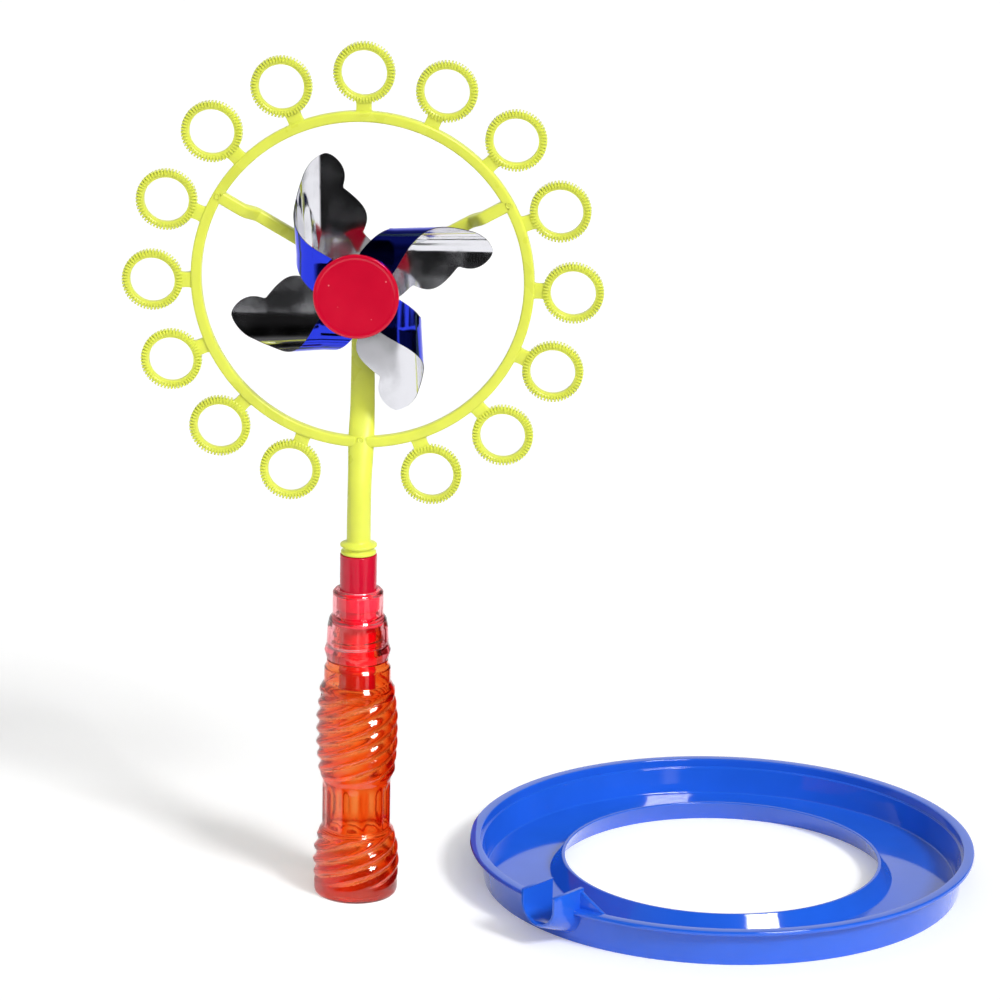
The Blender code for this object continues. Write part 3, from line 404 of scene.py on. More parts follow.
def rib_tree():
    """Tree that presses slanting or upright hollows into a turned wall between two heights."""
    labels = ("Starts", "Twist", "Datum", "Depth", "Roundness", "Bottom", "Top", "Runout", "Turn")
    tree, given = start_tree("moulded_ribs", [(label, "Float") for label in labels])
    position = put(tree, "GeometryNodeInputPosition")
    axes = put(tree, "ShaderNodeSeparateXYZ", {0: position}).outputs
    around = put(tree, "ShaderNodeMath", {0: axes[1], 1: axes[0]}, operation="ARCTAN2")
    above = put(tree, "ShaderNodeMath", {0: axes[2], 1: given["Datum"]}, operation="SUBTRACT")
    turn = put(tree, "ShaderNodeMath", {0: above, 1: given["Twist"]}, operation="MULTIPLY")
    lag = put(tree, "ShaderNodeMath", {0: around, 1: turn}, operation="SUBTRACT")
    set_on = put(tree, "ShaderNodeMath", {0: lag, 1: given["Turn"]}, operation="SUBTRACT")
    phase = put(tree, "ShaderNodeMath", {0: set_on, 1: given["Starts"]}, operation="MULTIPLY")
    wave = put(tree, "ShaderNodeMath", {0: phase}, operation="COSINE")
    crest = put(tree, "ShaderNodeMapRange", {0: wave, 1: 1.0, 2: -1.0, 3: 0.0, 4: 1.0})
    ridge = put(tree, "ShaderNodeMath", {0: crest, 1: given["Roundness"]}, operation="POWER")
    hollow = put(tree, "ShaderNodeMath", {0: ridge, 1: 1.0}, operation="SUBTRACT")
    over = put(tree, "ShaderNodeMath", {0: given["Bottom"], 1: given["Runout"]})
    under = put(tree, "ShaderNodeMath", {0: given["Top"], 1: given["Runout"]}, operation="SUBTRACT")
    rise = put(tree, "ShaderNodeMapRange", {0: axes[2], 1: given["Bottom"], 2: over},
               interpolation_type="SMOOTHSTEP")
    fall = put(tree, "ShaderNodeMapRange", {0: axes[2], 1: given["Top"], 2: under},
               interpolation_type="SMOOTHSTEP")
    window = put(tree, "ShaderNodeMath", {0: rise, 1: fall}, operation="MULTIPLY")
    deep = put(tree, "ShaderNodeMath", {0: hollow, 1: given["Depth"]}, operation="MULTIPLY")
    shift = put(tree, "ShaderNodeMath", {0: deep, 1: window}, operation="MULTIPLY")
    level = put(tree, "ShaderNodeCombineXYZ", {0: axes[0], 1: axes[1]})
    out = put(tree, "ShaderNodeVectorMath", {0: level}, operation="NORMALIZE")
    offset = put(tree, "ShaderNodeVectorMath", {0: out, "Scale": shift}, operation="SCALE")
    moved = put(tree, "GeometryNodeSetPosition", {"Geometry": given["Geometry"], "Offset": offset})
    put(tree, "NodeGroupOutput", {0: moved})
    return tree


def ring_tree():
    """Tree that sets copies of a geometry round a circle about Y."""
    sockets = [("Count", "Int"), ("Step", "Float"), ("Start", "Float"), ("Radius", "Float")]
    tree, given = start_tree("ring_of_copies", sockets)
    points = put(tree, "GeometryNodePoints", {"Count": given["Count"]})
    index = put(tree, "GeometryNodeInputIndex")
    angle = put(tree, "ShaderNodeMath", {0: index, 1: given["Step"], 2: given["Start"]},
                operation="MULTIPLY_ADD")
    across = put(tree, "ShaderNodeMath", {0: angle}, operation="COSINE")
    up = put(tree, "ShaderNodeMath", {0: angle}, operation="SINE")
    direction = put(tree, "ShaderNodeCombineXYZ", {0: across, 2: up})
    place = put(tree, "ShaderNodeVectorMath", {0: direction, "Scale": given["Radius"]},
                operation="SCALE")
    placed = put(tree, "GeometryNodeSetPosition", {"Geometry": points, "Position": place})
    back = put(tree, "ShaderNodeMath", {0: angle, 1: -1.0}, operation="MULTIPLY")
    turn = put(tree, "ShaderNodeCombineXYZ", {1: back})
    copies = put(tree, "GeometryNodeInstanceOnPoints",
                 {"Points": placed, "Instance": given["Geometry"], "Rotation": turn})
    put(tree, "NodeGroupOutput", {0: copies})
    return tree


def loop_tree():
    """Tree that ribs one loop and sets copies of it round the hoop."""
    sockets = [("Blank", "Object"), ("Rib", "Object"), ("Ribs", "Int"), ("Rib Step", "Float"), ("Loops", "Int"),
               ("Loop Step", "Float"), ("Loop Start", "Float"), ("Circle", "Float"), ("Middle", "Vector"),
               ("Material", "Material")]
    tree, given = start_tree("bubble_loops", sockets)
    ring = ring_tree()
    rib = put(tree, "GeometryNodeObjectInfo", {"Object": given["Rib"]}).outputs["Geometry"]
    blank = put(tree, "GeometryNodeObjectInfo", {"Object": given["Blank"]}).outputs["Geometry"]
    ribs = put(tree, "GeometryNodeGroup",
               {"Geometry": rib, "Count": given["Ribs"], "Step": given["Rib Step"]}, node_tree=ring)
    joined = put(tree, "GeometryNodeJoinGeometry", {0: blank})
    feed(tree, joined, {0: ribs})
    loops = put(tree, "GeometryNodeGroup",
                {"Geometry": joined, "Count": given["Loops"], "Step": given["Loop Step"],
                 "Start": given["Loop Start"], "Radius": given["Circle"]}, node_tree=ring)
    moved = put(tree, "GeometryNodeTransform", {"Geometry": loops, "Translation": given["Middle"]})
    real = put(tree, "GeometryNodeRealizeInstances", {"Geometry": moved})
    dressed = put(tree, "GeometryNodeSetMaterial", {"Geometry": real, "Material": given["Material"]})
    put(tree, "NodeGroupOutput", {0: dressed})
    return tree


def start_finish(name):
    """Start a material: the material, its tree, its Principled shader and the Object coordinates."""
    material = bpy.data.materials.new(name)
    material.use_nodes = True
    tree = material.node_tree
    shader = tree.nodes["Principled BSDF"]
    place = put(tree, "ShaderNodeTexCoord").outputs["Object"]
    return material, tree, shader, place


def opaque(tint, share=1.0):
    """A linear colour, made lighter or darker, with its alpha."""
    return (*(min(c * share, 1.0) for c in tint), 1.0)


def moulded(name, base, gloss, flow, grain, relief, **sockets):
    """Injection-moulded plastic.

    Flow marks shift colour and gloss a little over some centimetres, and a fine grain of the mould breaks the
    highlight. The grain is drawn coarser than the real one so that it shows. Sizes are in millimetres.
    """
    material, tree, shader, place = start_finish(name)
    marks = put(tree, "ShaderNodeTexNoise", {"Vector": place, "Scale": 1 / (flow * MM), "Detail": 3.0})
    pits = put(tree, "ShaderNodeTexNoise", {"Vector": place, "Scale": 1 / (grain * MM), "Detail": 2.0})
    share = put(tree, "ShaderNodeMapRange", {0: marks, 1: 0.3, 2: 0.7})
    deep, pale = opaque(base, 0.93), opaque(base, 1.05)
    tone = put(tree, "ShaderNodeMix", {"Factor": share, 6: deep, 7: pale}, data_type="RGBA")
    feed(tree, shader, {
        "Base Color": tone.outputs[2],
        "Roughness": put(tree, "ShaderNodeMapRange", {0: share, 3: gloss * 0.8, 4: gloss * 1.25}),
        "Normal": put(tree, "ShaderNodeBump", {"Strength": 0.5, "Distance": relief * MM, "Height": pits}),
        **{key.replace("_", " "): value for key, value in sockets.items()},
    })
    return material


def clear(name, ior, gloss, wobble, relief, passed, density):
    """Clear tinted plastic or liquid.

    The tint comes from absorption, so thick edges are deeper than the middle, and a slow wobble of the wall bends
    what is seen through it. Sizes are in millimetres; passed is the linear colour that the bulk lets through.
    """
    material, tree, shader, place = start_finish(name)
    swell = put(tree, "ShaderNodeTexNoise", {"Vector": place, "Scale": 1 / (wobble * MM), "Detail": 1.0})
    feed(tree, shader, {
        "Base Color": OPAQUE_WHITE, "Transmission Weight": 1.0, "IOR": ior,
        "Roughness": put(tree, "ShaderNodeMapRange", {0: swell, 3: gloss * 0.6, 4: gloss * 1.4}),
        "Normal": put(tree, "ShaderNodeBump", {"Strength": 0.6, "Distance": relief * MM, "Height": swell}),
    })
    bulk = put(tree, "ShaderNodeVolumeAbsorption", {"Color": opaque(passed), "Density": density})
    feed(tree, tree.nodes["Material Output"], {"Volume": bulk})
    return material


def film(name, base, gloss):
    """Metallised plastic film: a mirror with faint rolling streaks, small dents and dust that dull it in spots."""
    material, tree, shader, place = start_finish(name)
    streaks = put(tree, "ShaderNodeTexNoise", {"Vector": place, "Scale": 1 / (9.0 * MM), "Detail": 4.0})
    dents = put(tree, "ShaderNodeTexNoise", {"Vector": place, "Scale": 1 / (14.0 * MM), "Detail": 0.0})
    dust = put(tree, "ShaderNodeTexVoronoi", {"Vector": place, "Scale": 1 / (3.2 * MM)})
    bare = put(tree, "ShaderNodeMapRange", {0: dust, 1: 0.03, 2: 0.07})
    dusty = opaque([c * 1.3 + 0.05 for c in base])
    tone = put(tree, "ShaderNodeMix", {"Factor": bare, 6: dusty, 7: opaque(base)}, data_type="RGBA")
    feed(tree, shader, {
        "Metallic": 1.0,
        "Base Color": tone.outputs[2],
        "Roughness": put(tree, "ShaderNodeMapRange", {0: streaks, 1: 0.35, 2: 0.75, 3: gloss * 0.7, 4: gloss * 1.6}),
        "Normal": put(tree, "ShaderNodeBump", {"Strength": 0.35, "Distance": 0.12 * MM, "Height": dents}),
    })
    return material


def specked(name, base, gloss):
    """Moulded red plastic with the dust specks that its flat, glossy face shows."""
    material = moulded(name, base, gloss, flow=16.0, grain=0.6, relief=0.02)
    tree = material.node_tree
    shader = tree.nodes["Principled BSDF"]
    place = put(tree, "ShaderNodeTexCoord").outputs["Object"]
    dust = put(tree, "ShaderNodeTexVoronoi", {"Vector": place, "Scale": 1 / (5.5 * MM)})
    speck = put(tree, "ShaderNodeMapRange", {0: dust, 1: 0.04, 2: 0.07, 3: 0.6, 4: 0.0})
    plain = shader.inputs["Base Color"].links[0].from_socket
    pale = opaque(linear("#F3A0A0"))
    tone = put(tree, "ShaderNodeMix", {"Factor": speck, 6: plain, 7: pale}, data_type="RGBA")
    feed(tree, shader, {"Base Color": tone.outputs[2]})
    return material


def drawn_wire(name, base):
    """Drawn steel wire: fine lines along the pin that stretch the highlight."""
    material, tree, shader, place = start_finish(name)
    # Stretched along the pin, which lies along Y
    along = put(tree, "ShaderNodeMapping", {"Vector": place, "Scale": (1.0, 0.05, 1.0)})
    lines = put(tree, "ShaderNodeTexNoise", {"Vector": along, "Scale": 1 / (0.3 * MM)})
    polish = put(tree, "ShaderNodeMapRange", {0: lines, 3: 0.2, 4: 0.4})
    feed(tree, shader, {"Base Color": opaque(base), "Metallic": 1.0, "Roughness": polish})
    return material


def bottle_outline(s):
    """Outside of the bottle without its ribs: (radius, height) points from the base's middle to the lip."""
    corners = [
        (BASE_POLE, 0.7 * MM, 0.0),
        (9.5 * MM, 0.7 * MM, 0.8 * MM),
        (11.0 * MM, 0.1 * MM, 0.8 * MM),
        (s.base_radius, 0.1 * MM, 5.0 * MM),
        (s.base_radius, 6.0 * MM, 1.5 * MM),
        (s.low_radius, 13.0 * MM, 8.0 * MM),
        (s.base_radius, 21.5 * MM, 6.0 * MM),
        (s.waist_radius + 1.5 * MM, s.low_top, 1.5 * MM),
        (s.waist_radius, s.low_top + 1.5 * MM, 1.5 * MM),
        (s.waist_radius, s.waist_top - 1.0 * MM, 1.5 * MM),
        (s.high_radius - 1.0 * MM, s.waist_top + 3.0 * MM, 2.0 * MM),
        (s.high_radius, 63.0 * MM, 12.0 * MM),
        (s.high_radius, 76.0 * MM, 12.0 * MM),
        (s.high_radius - 1.35 * MM, s.shoulder - 1.5 * MM, 1.5 * MM),
        (s.collar_radius, s.shoulder + 1.5 * MM, 1.2 * MM),
        (s.collar_radius, 96.8 * MM, 0.8 * MM),
        (s.collar_radius - 1.0 * MM, 98.3 * MM, 0.8 * MM),
        (s.collar_radius - 1.0 * MM, 100.2 * MM, 0.3 * MM),
        (FINISH_RADIUS, 100.2 * MM, 0.3 * MM),
        (FINISH_RADIUS, s.lip, 0.0),
    ]
    return rounded(corners)


def rib_bottle(item, s, share):
    """Press the two swirled grips and the waist's flutes into a turned wall, to a share of their full depth."""
    tree = rib_tree()
    twist = math.tau / s.swirl_lead
    swirl = {"Starts": float(s.swirl_starts), "Twist": twist, "Depth": s.swirl_depth * share, "Roundness": 0.6}
    base = 5.5 * MM
    grown = s.low_top - base
    grow(item, tree, {**swirl, "Datum": base, "Bottom": base, "Top": s.low_top + 1.0 * MM, "Runout": 3.0 * MM})
    grow(item, tree, {**swirl, "Datum": s.waist_top - grown, "Bottom": s.waist_top + 0.5 * MM,
                      "Top": s.shoulder - 0.5 * MM, "Runout": 3.5 * MM})
    grow(item, tree, {"Starts": float(s.flutes), "Twist": 0.0, "Depth": s.flute_depth * share, "Roundness": 2.0,
                      "Turn": math.pi / s.flutes, "Bottom": s.low_top + 1.0 * MM, "Top": s.waist_top - 0.5 * MM,
                      "Runout": 5.0 * MM})


class WINDMILL_OT_bottle(bpy.types.Operator):
    """Build the swirled bottle and the bubble solution in it"""

    bl_idname = "windmill.bottle"
    bl_label = "Bottle"

    def execute(self, context):
        sizes = context.scene.windmill_bottle
        # Blow-moulded PET tinted red: thin, very glossy, orange where the light passes straight through
        tinted = clear("blown PET, clear red", ior=1.57, gloss=0.03, wobble=9.0, relief=0.10,
                       passed=(0.978, 0.52, 0.0), density=1850.0)
        # Soap solution: water-like, with a little of the dye
        soapy = clear("bubble solution", ior=1.34, gloss=0.2, wobble=12.0, relief=0.0,
                      passed=linear("#FFE2C4"), density=12.0)

        outside = bottle_outline(sizes)
        thin = 0.6 * sizes.wall
        inside = [Vector((max(r - (thin if z > sizes.shoulder else sizes.wall), BASE_POLE), max(z, sizes.wall)))
                  for r, z in outside]
        pitch = context.scene.windmill_closure.thread_pitch
        shape = helix(bmesh.new(), FINISH_RADIUS, RIDGE_HEIGHT, start=105.5 * MM, turns=1.6, pitch=pitch)
        # The mould's ribs press less deep on the inside, so a rib is thicker and darker than a groove
        for outline, share in ((outside, 1.0), (inside, INNER_RIBS)):
            side = draft("bottle_side", to_mesh("bottle_side", turned_wall(dense(outline, WALL_STEP), ROUND)))
            rib_bottle(side, sizes, share)
            shape.from_mesh(settle(side).data)
            bpy.data.objects.remove(side)
        rims = sorted((v for v in shape.verts if v.is_boundary), key=lambda v: v.co.xy.length)
        half = len(rims) // 2
        inner, outer = (sorted(rim, key=lambda v: math.atan2(v.co.y, v.co.x)) for rim in (rims[:half], rims[half:]))
        for i in range(half):
            shape.faces.new((inner[i - 1], inner[i], outer[i], outer[i - 1]))
        unseen(piece("bottle_shell", shape, [tinted], "bottle", "bottle_shell", "handle_bottle"), "shadow", "diffuse")

        wetted = [(r + 0.1 * MM, z - 0.1 * MM) for r, z in inside if z < sizes.level]
        rows = dense([Vector(p) for p in wetted + [(wetted[-1][0], sizes.level)]], WALL_STEP)
        fill = draft("solution_fill", to_mesh("solution_fill", turned(bmesh.new(), rows, ROUND, closed=False)))
        rib_bottle(fill, sizes, INNER_RIBS)
        settle(fill)
        seat(fill, [soapy], "bottle", "solution", "bubble_solution")
        return {"FINISHED"}


def turned_wall(outline, steps):
    """Open turned surface with its first ring closed, to be given a wall."""
    shape = bmesh.new()
    turned(shape, outline, steps, closed=False)
    shape.faces.ensure_lookup_table()
    top = max(shape.faces, key=lambda face: (len(face.verts), face.calc_center_median().z))
    shape.faces.remove(top)
    return shape


class WINDMILL_OT_closure(bpy.types.Operator):
    """Build the screw cap, its seal and the red socket of the stem"""

    bl_idname = "windmill.closure"
    bl_label = "Cap and socket"

    def execute(self, context):
        s = context.scene.windmill_closure
        lip = context.scene.windmill_bottle.lip
        colours = context.scene.windmill_finishes
        # Clear polystyrene tinted pink-red: hard, mirror-smooth, with reflections on all four of its faces
        tinted = clear("moulded polystyrene, clear red", ior=1.59, gloss=0.03, wobble=14.0, relief=0.05,
                       passed=(0.97, 0.39, 0.45), density=500.0)
        # Polypropylene, opaque red, satin to gloss
        red = moulded("moulded polypropylene, red", colours.red, gloss=0.16, flow=12.0, grain=0.7, relief=0.02)
        # Foamed polyethylene liner: soft and dull
        soft = moulded("foam liner, red", colours.liner, gloss=0.7, flow=4.0, grain=0.4, relief=0.15)

        shoulder = lip + 1.6 * MM
        step = shoulder + 1.3 * MM
        bore = 10.9 * MM
        chamber = s.step_radius - 1.3 * MM
        hole = s.socket_radius + 0.3 * MM
        outline = [
            (s.skirt_radius + 0.2 * MM, s.seat, 0.3 * MM),
            (s.bead_radius - 0.3 * MM, s.seat + 2.4 * MM, 0.6 * MM),
            (s.bead_radius, s.seat + 3.7 * MM, 0.9 * MM),
            (s.bead_radius - 0.4 * MM, s.seat + 4.9 * MM, 0.9 * MM),
            (s.skirt_radius + 0.3 * MM, s.seat + 6.2 * MM, 1.0 * MM),
            (s.skirt_radius, shoulder - 2.4 * MM, 2.0 * MM),
            (s.skirt_radius - 0.6 * MM, step - 0.8 * MM, 0.8 * MM),
            (s.step_radius + 0.9 * MM, step + 0.1 * MM, 0.7 * MM),
            (s.step_radius, step + 1.2 * MM, 0.8 * MM),
            (s.step_radius, s.cap_top - 1.0 * MM, 0.9 * MM),
            (s.step_radius - 1.0 * MM, s.cap_top, 0.7 * MM),
            (hole, s.cap_top, 0.2 * MM),
            (hole, s.cap_top - 2.0 * MM, 0.2 * MM),
            (chamber, s.cap_top - 2.0 * MM, 0.3 * MM),
            (chamber, shoulder, 0.3 * MM),
            (bore, shoulder, 0.3 * MM),
            (bore, s.seat, 0.2 * MM),
        ]
        cap = turned(bmesh.new(), rounded(outline, closed=True), 96)
        helix(cap, bore, -RIDGE_HEIGHT, start=103.7 * MM, turns=1.25, pitch=s.thread_pitch)
        unseen(piece("cap_shell", cap, [tinted], "wand", "cap_shell", "screw_cap"), "shadow")

        low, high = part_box("cap_seal")
        ring = oblong(8.2 * MM, high.x, low.z, high.z, 0.2 * MM)
        washer = turned(bmesh.new(), rounded(ring, closed=True, steps=2), 72)
        piece("seal_washer", washer, [soft], "seal", "seal", "cap_seal")

        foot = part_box("stem_socket")[0].z
        flange, flange_foot = s.cap_top - 2.3 * MM, s.cap_top - 7.8 * MM
        bore, floor = 5.2 * MM, foot + 2.0 * MM
        outline = [
            (POLE, foot, 0.0),
            (s.socket_radius, foot, 1.0 * MM),
            (s.socket_radius, flange_foot, 0.3 * MM),
            (chamber - 0.3 * MM, flange_foot, 0.3 * MM),
            (chamber - 0.3 * MM, flange, 0.3 * MM),
            (s.socket_radius, flange, 0.2 * MM),
            (s.socket_radius, s.socket_top, 0.3 * MM),
            (bore, s.socket_top, 0.3 * MM),
            (bore, floor, 0.5 * MM),
            (POLE, floor, 0.0),
        ]
        tube = turned(bmesh.new(), rounded(outline), 96, closed=False)
        piece("socket_tube", tube, [red], "wand", "red", "stem_socket")
        return {"FINISHED"}


def stem_rows(sizes):
    """Level sections of the stem from plug to boss: height, middle in Y, half width and half depth."""
    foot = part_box("wand_stem")[0].z
    top = HUB.z
    collar, plug, shaft = 144.3 * MM, 4.9 * MM, 4.8 * MM
    turned_part = [
        (plug - 1.0 * MM, foot, 0.0),
        (plug, foot + 1.0 * MM, 0.5 * MM),
        (plug, collar, 0.1 * MM),
        (7.1 * MM, collar, 0.3 * MM),
        (7.1 * MM, collar + 1.0 * MM, 0.35 * MM),
        (6.0 * MM, collar + 1.6 * MM, 0.4 * MM),
        (6.0 * MM, collar + 2.4 * MM, 0.4 * MM),
        (7.4 * MM, collar + 3.2 * MM, 0.3 * MM),
        (7.4 * MM, collar + 3.9 * MM, 0.3 * MM),
        (shaft, collar + 5.0 * MM, 0.9 * MM),
        (shaft, collar + 7.5 * MM, 0.0),
    ]
    rows = [(z, 0.0, r, r) for r, z in rounded(turned_part)]
    hoop = top - sizes.hoop_inner - sizes.hoop_width / 2
    back = sizes.hoop_y + BACKSET
    first, last = rows[-1][0], top - 2.7 * MM
    middles = [(first, 0.0), (160.0 * MM, 0.0), (171.0 * MM, 1.4 * MM), (180.8 * MM, 4.4 * MM),
               (hoop, 7.2 * MM), (hoop + 7.1 * MM, 9.7 * MM), (hoop + 14.3 * MM, back), (top, back)]
    widths = [(first, shaft), (175.0 * MM, shaft), (hoop, 5.2 * MM), (hoop + 14.0 * MM, 4.9 * MM), (top, 4.4 * MM)]
    depths = [(first, shaft), (171.0 * MM, 4.7 * MM), (hoop, 3.6 * MM), (hoop + 8.0 * MM, 2.5 * MM),
              (hoop + 14.3 * MM, 2.2 * MM), (top, 2.2 * MM)]
    steps = 80
    for step in range(1, steps + 1):
        z = first + (last - first) * step / steps
        rows.append((z, smooth(middles, z), smooth(widths, z), smooth(depths, z)))
    return rows


def swept(shape, path, section, frame_of):
    """Sweep a closed section along a path; frame_of gives the two section directions at each point."""
    rows = []
    for index, point in enumerate(path):
        first, second = frame_of(index)
        rows.append([point + first * a + second * b for a, b in section])
    return skin(shape, rows, caps=True)


def pip(shape, place):
    """Small ejector mark on a front face: a shallow dish with a raised edge."""
    outline = [(0.2, -0.08), (0.75, -0.06), (0.95, -0.26), (1.2, -0.26), (1.45, 0.3), (0.2, 0.3)]
    return turned(shape, [(r * MM, y * MM) for r, y in outline], 24, "Y", place, closed=False)


class WINDMILL_OT_wand(bpy.types.Operator):
    """Build the yellow stem with its boss, the two arms and the hoop"""

    bl_idname = "windmill.wand"
    bl_label = "Stem, arms and hoop"

    def execute(self, context):
        s = context.scene.windmill_wand
        yellow = yellow_finish(context)
        half = s.thickness / 2

        post = bmesh.new()
        angles = [math.tau * (i + 0.5) / 48 for i in range(48)]
        skin(post, [[(width * math.cos(a), middle + depth * math.sin(a), z) for a in angles]
                    for z, middle, width, depth in stem_rows(s)], caps=True)
        rear = s.hoop_y + BACKSET
        boss_radius, boss_back = 5.5 * MM, rear + half + 1.0 * MM
        boss = [(PIN_BORE, s.hoop_y, 0.1 * MM), (boss_radius, s.hoop_y, 0.6 * MM), (boss_radius, boss_back, 0.5 * MM),
                (PIN_BORE, boss_back, 0.1 * MM)]
        turned(post, rounded(boss, closed=True), 64, "Y", AXLE)
        pip(post, (0.0, 3.75 * MM, HUB.z - s.hoop_inner - 1.0 * MM))
        piece("stem", post, [yellow], "wand", "yellow", "wand_stem")

        arms = bmesh.new()
        section = rounded(oblong(-half, half, -s.arm_width / 2, s.arm_width / 2, s.edge), closed=True, steps=3)
        stub, bend = s.hoop_inner - 9.8 * MM, 3.0 * MM
        corners = [(4.4 * MM, rear, 0.0), (stub - 5.0 * MM, rear, bend), (stub, s.hoop_y, bend),
                   (s.hoop_inner + 1.5 * MM, s.hoop_y, 0.0)]
        line = dense(rounded(corners), 3.0 * MM)
        sides = (s.arm_angle, math.pi - s.arm_angle)
        forward = Vector((0.0, 1.0, 0.0))
        for angle in sides:
            out = Vector((math.cos(angle), 0.0, math.sin(angle)))
            side = Vector((-math.sin(angle), 0.0, math.cos(angle)))

            def frame_of(index):
                ahead = line[min(index + 1, len(line) - 1)] - line[max(index - 1, 0)]
                ahead.normalize()
                return forward * ahead.x - out * ahead.y, side

            path = [Vector(AXLE) + out * a + forward * b for a, b in line]
            swept(arms, path, section, frame_of)
        piece("arms", arms, [yellow], "wand", "yellow", "frame_arm_left", "frame_arm_right")

        hoop = bmesh.new()
        inner, outer = s.hoop_inner, s.hoop_inner + s.hoop_width
        section = rounded(oblong(inner, outer, -half, half, s.edge), closed=True, steps=4)
        # The hoop is open by this much on each side of the stem
        gap = math.radians(2.0)
        steps = 240
        rows = []
        for step in range(steps + 1):
            angle = -math.pi / 2 + gap + (math.tau - 2 * gap) * step / steps
            rows.append([(r * math.cos(angle), s.hoop_y + y, HUB.z + r * math.sin(angle)) for r, y in section])
        skin(hoop, rows, caps=True)
        reach = (inner + outer) / 2
        for angle in sides:
            pip(hoop, (reach * math.cos(angle), s.hoop_y - half, HUB.z + reach * math.sin(angle)))
        piece("hoop", hoop, [yellow], "wand", "yellow", "frame_hoop")
        return {"FINISHED"}


def yellow_finish(context):
    """Moulded polyethylene in a bright lemon yellow: waxy, a little see-through, with soft highlights."""
    name = "moulded polyethylene, lemon yellow"
    return bpy.data.materials.get(name) or moulded(
        name, context.scene.windmill_finishes.yellow, gloss=0.3, flow=18.0, grain=0.8, relief=0.02,
        Subsurface_Weight=0.2, Subsurface_Radius=(1.0, 0.85, 0.08), Subsurface_Scale=1.5 * MM,
        Specular_IOR_Level=0.4,
    )


class WINDMILL_OT_loops(bpy.types.Operator):
    """Build the ribbed bubble loops with their webs"""

    bl_idname = "windmill.loops"
    bl_label = "Bubble loops"

    def execute(self, context):
        s = context.scene.windmill_loops
        wand = context.scene.windmill_wand
        yellow = yellow_finish(context)
        rim, core = s.hole + s.band, s.rib_tip - 0.85 * MM
        ring_half, core_half, web_half = 1.8 * MM, 1.7 * MM, 1.45 * MM

        blank = bmesh.new()
        front = [(s.hole, -ring_half, 0.6 * MM), (rim, -ring_half, 0.4 * MM), (rim + 0.3 * MM, -core_half, 0.2 * MM),
                 (core, -core_half, 0.5 * MM)]
        corners = front + [(r, -y, radius) for r, y, radius in front[::-1]]
        turned(blank, rounded(corners, closed=True, steps=2), 72, "Y")
        near, far = -(core - 0.6 * MM), -(s.circle - wand.hoop_inner - wand.hoop_width + 0.8 * MM)
        rows = []
        for share in (step / 8 for step in range(9)):
            width = s.web_width / 2 + 0.9 * MM * (2 * share - 1.0) ** 4
            section = rounded(oblong(-web_half, web_half, -width, width, 0.5 * MM), closed=True, steps=2)
            rows.append([(near + (far - near) * share, y, z) for y, z in section])
        skin(blank, rows, caps=True)
        blank = draft("loop_blank", to_mesh("loop_blank", blank))

        # A rib narrows towards its tip, and its two ends are chamfered
        rows = []
        for y, foot, tip, share in ((-2.2, 1.2, -0.6, 0.7), (-1.8, 0.7, 0.0, 1.0), (1.8, 0.7, 0.0, 1.0),
                                    (2.2, 1.2, -0.6, 0.7)):
            inner, outer = s.hole + foot * MM, s.rib_tip + tip * MM
            wide, slim = s.rib_width / 2 * share, s.rib_width / 2 * share * 0.8
            outline = ((inner, -wide), (outer, -slim), (outer, slim), (inner, wide))
            rows.append([(r, y * MM, z) for r, z in outline])
        rib = draft("loop_rib", to_mesh("loop_rib", skin(bmesh.new(), rows, caps=True)))

        item = draft("loops", bpy.data.meshes.new("loops"))
        grow(item, loop_tree(), {
            "Blank": blank, "Rib": rib, "Ribs": s.ribs, "Rib Step": math.tau / s.ribs, "Loops": s.loops,
            "Loop Step": s.step, "Loop Start": math.pi / 2 - s.step * (s.loops - 1) / 2, "Circle": s.circle,
            "Middle": (0.0, wand.hoop_y, HUB.z), "Material": yellow,
        })
        settle(item)
        for helper in (blank, rib):
            bpy.data.objects.remove(helper)
        nodes = [f"bubble_loop_{i + 1:02d}" for i in range(s.loops)]
        seat(item, [yellow], "wand", "yellow", *nodes)
        return {"FINISHED"}


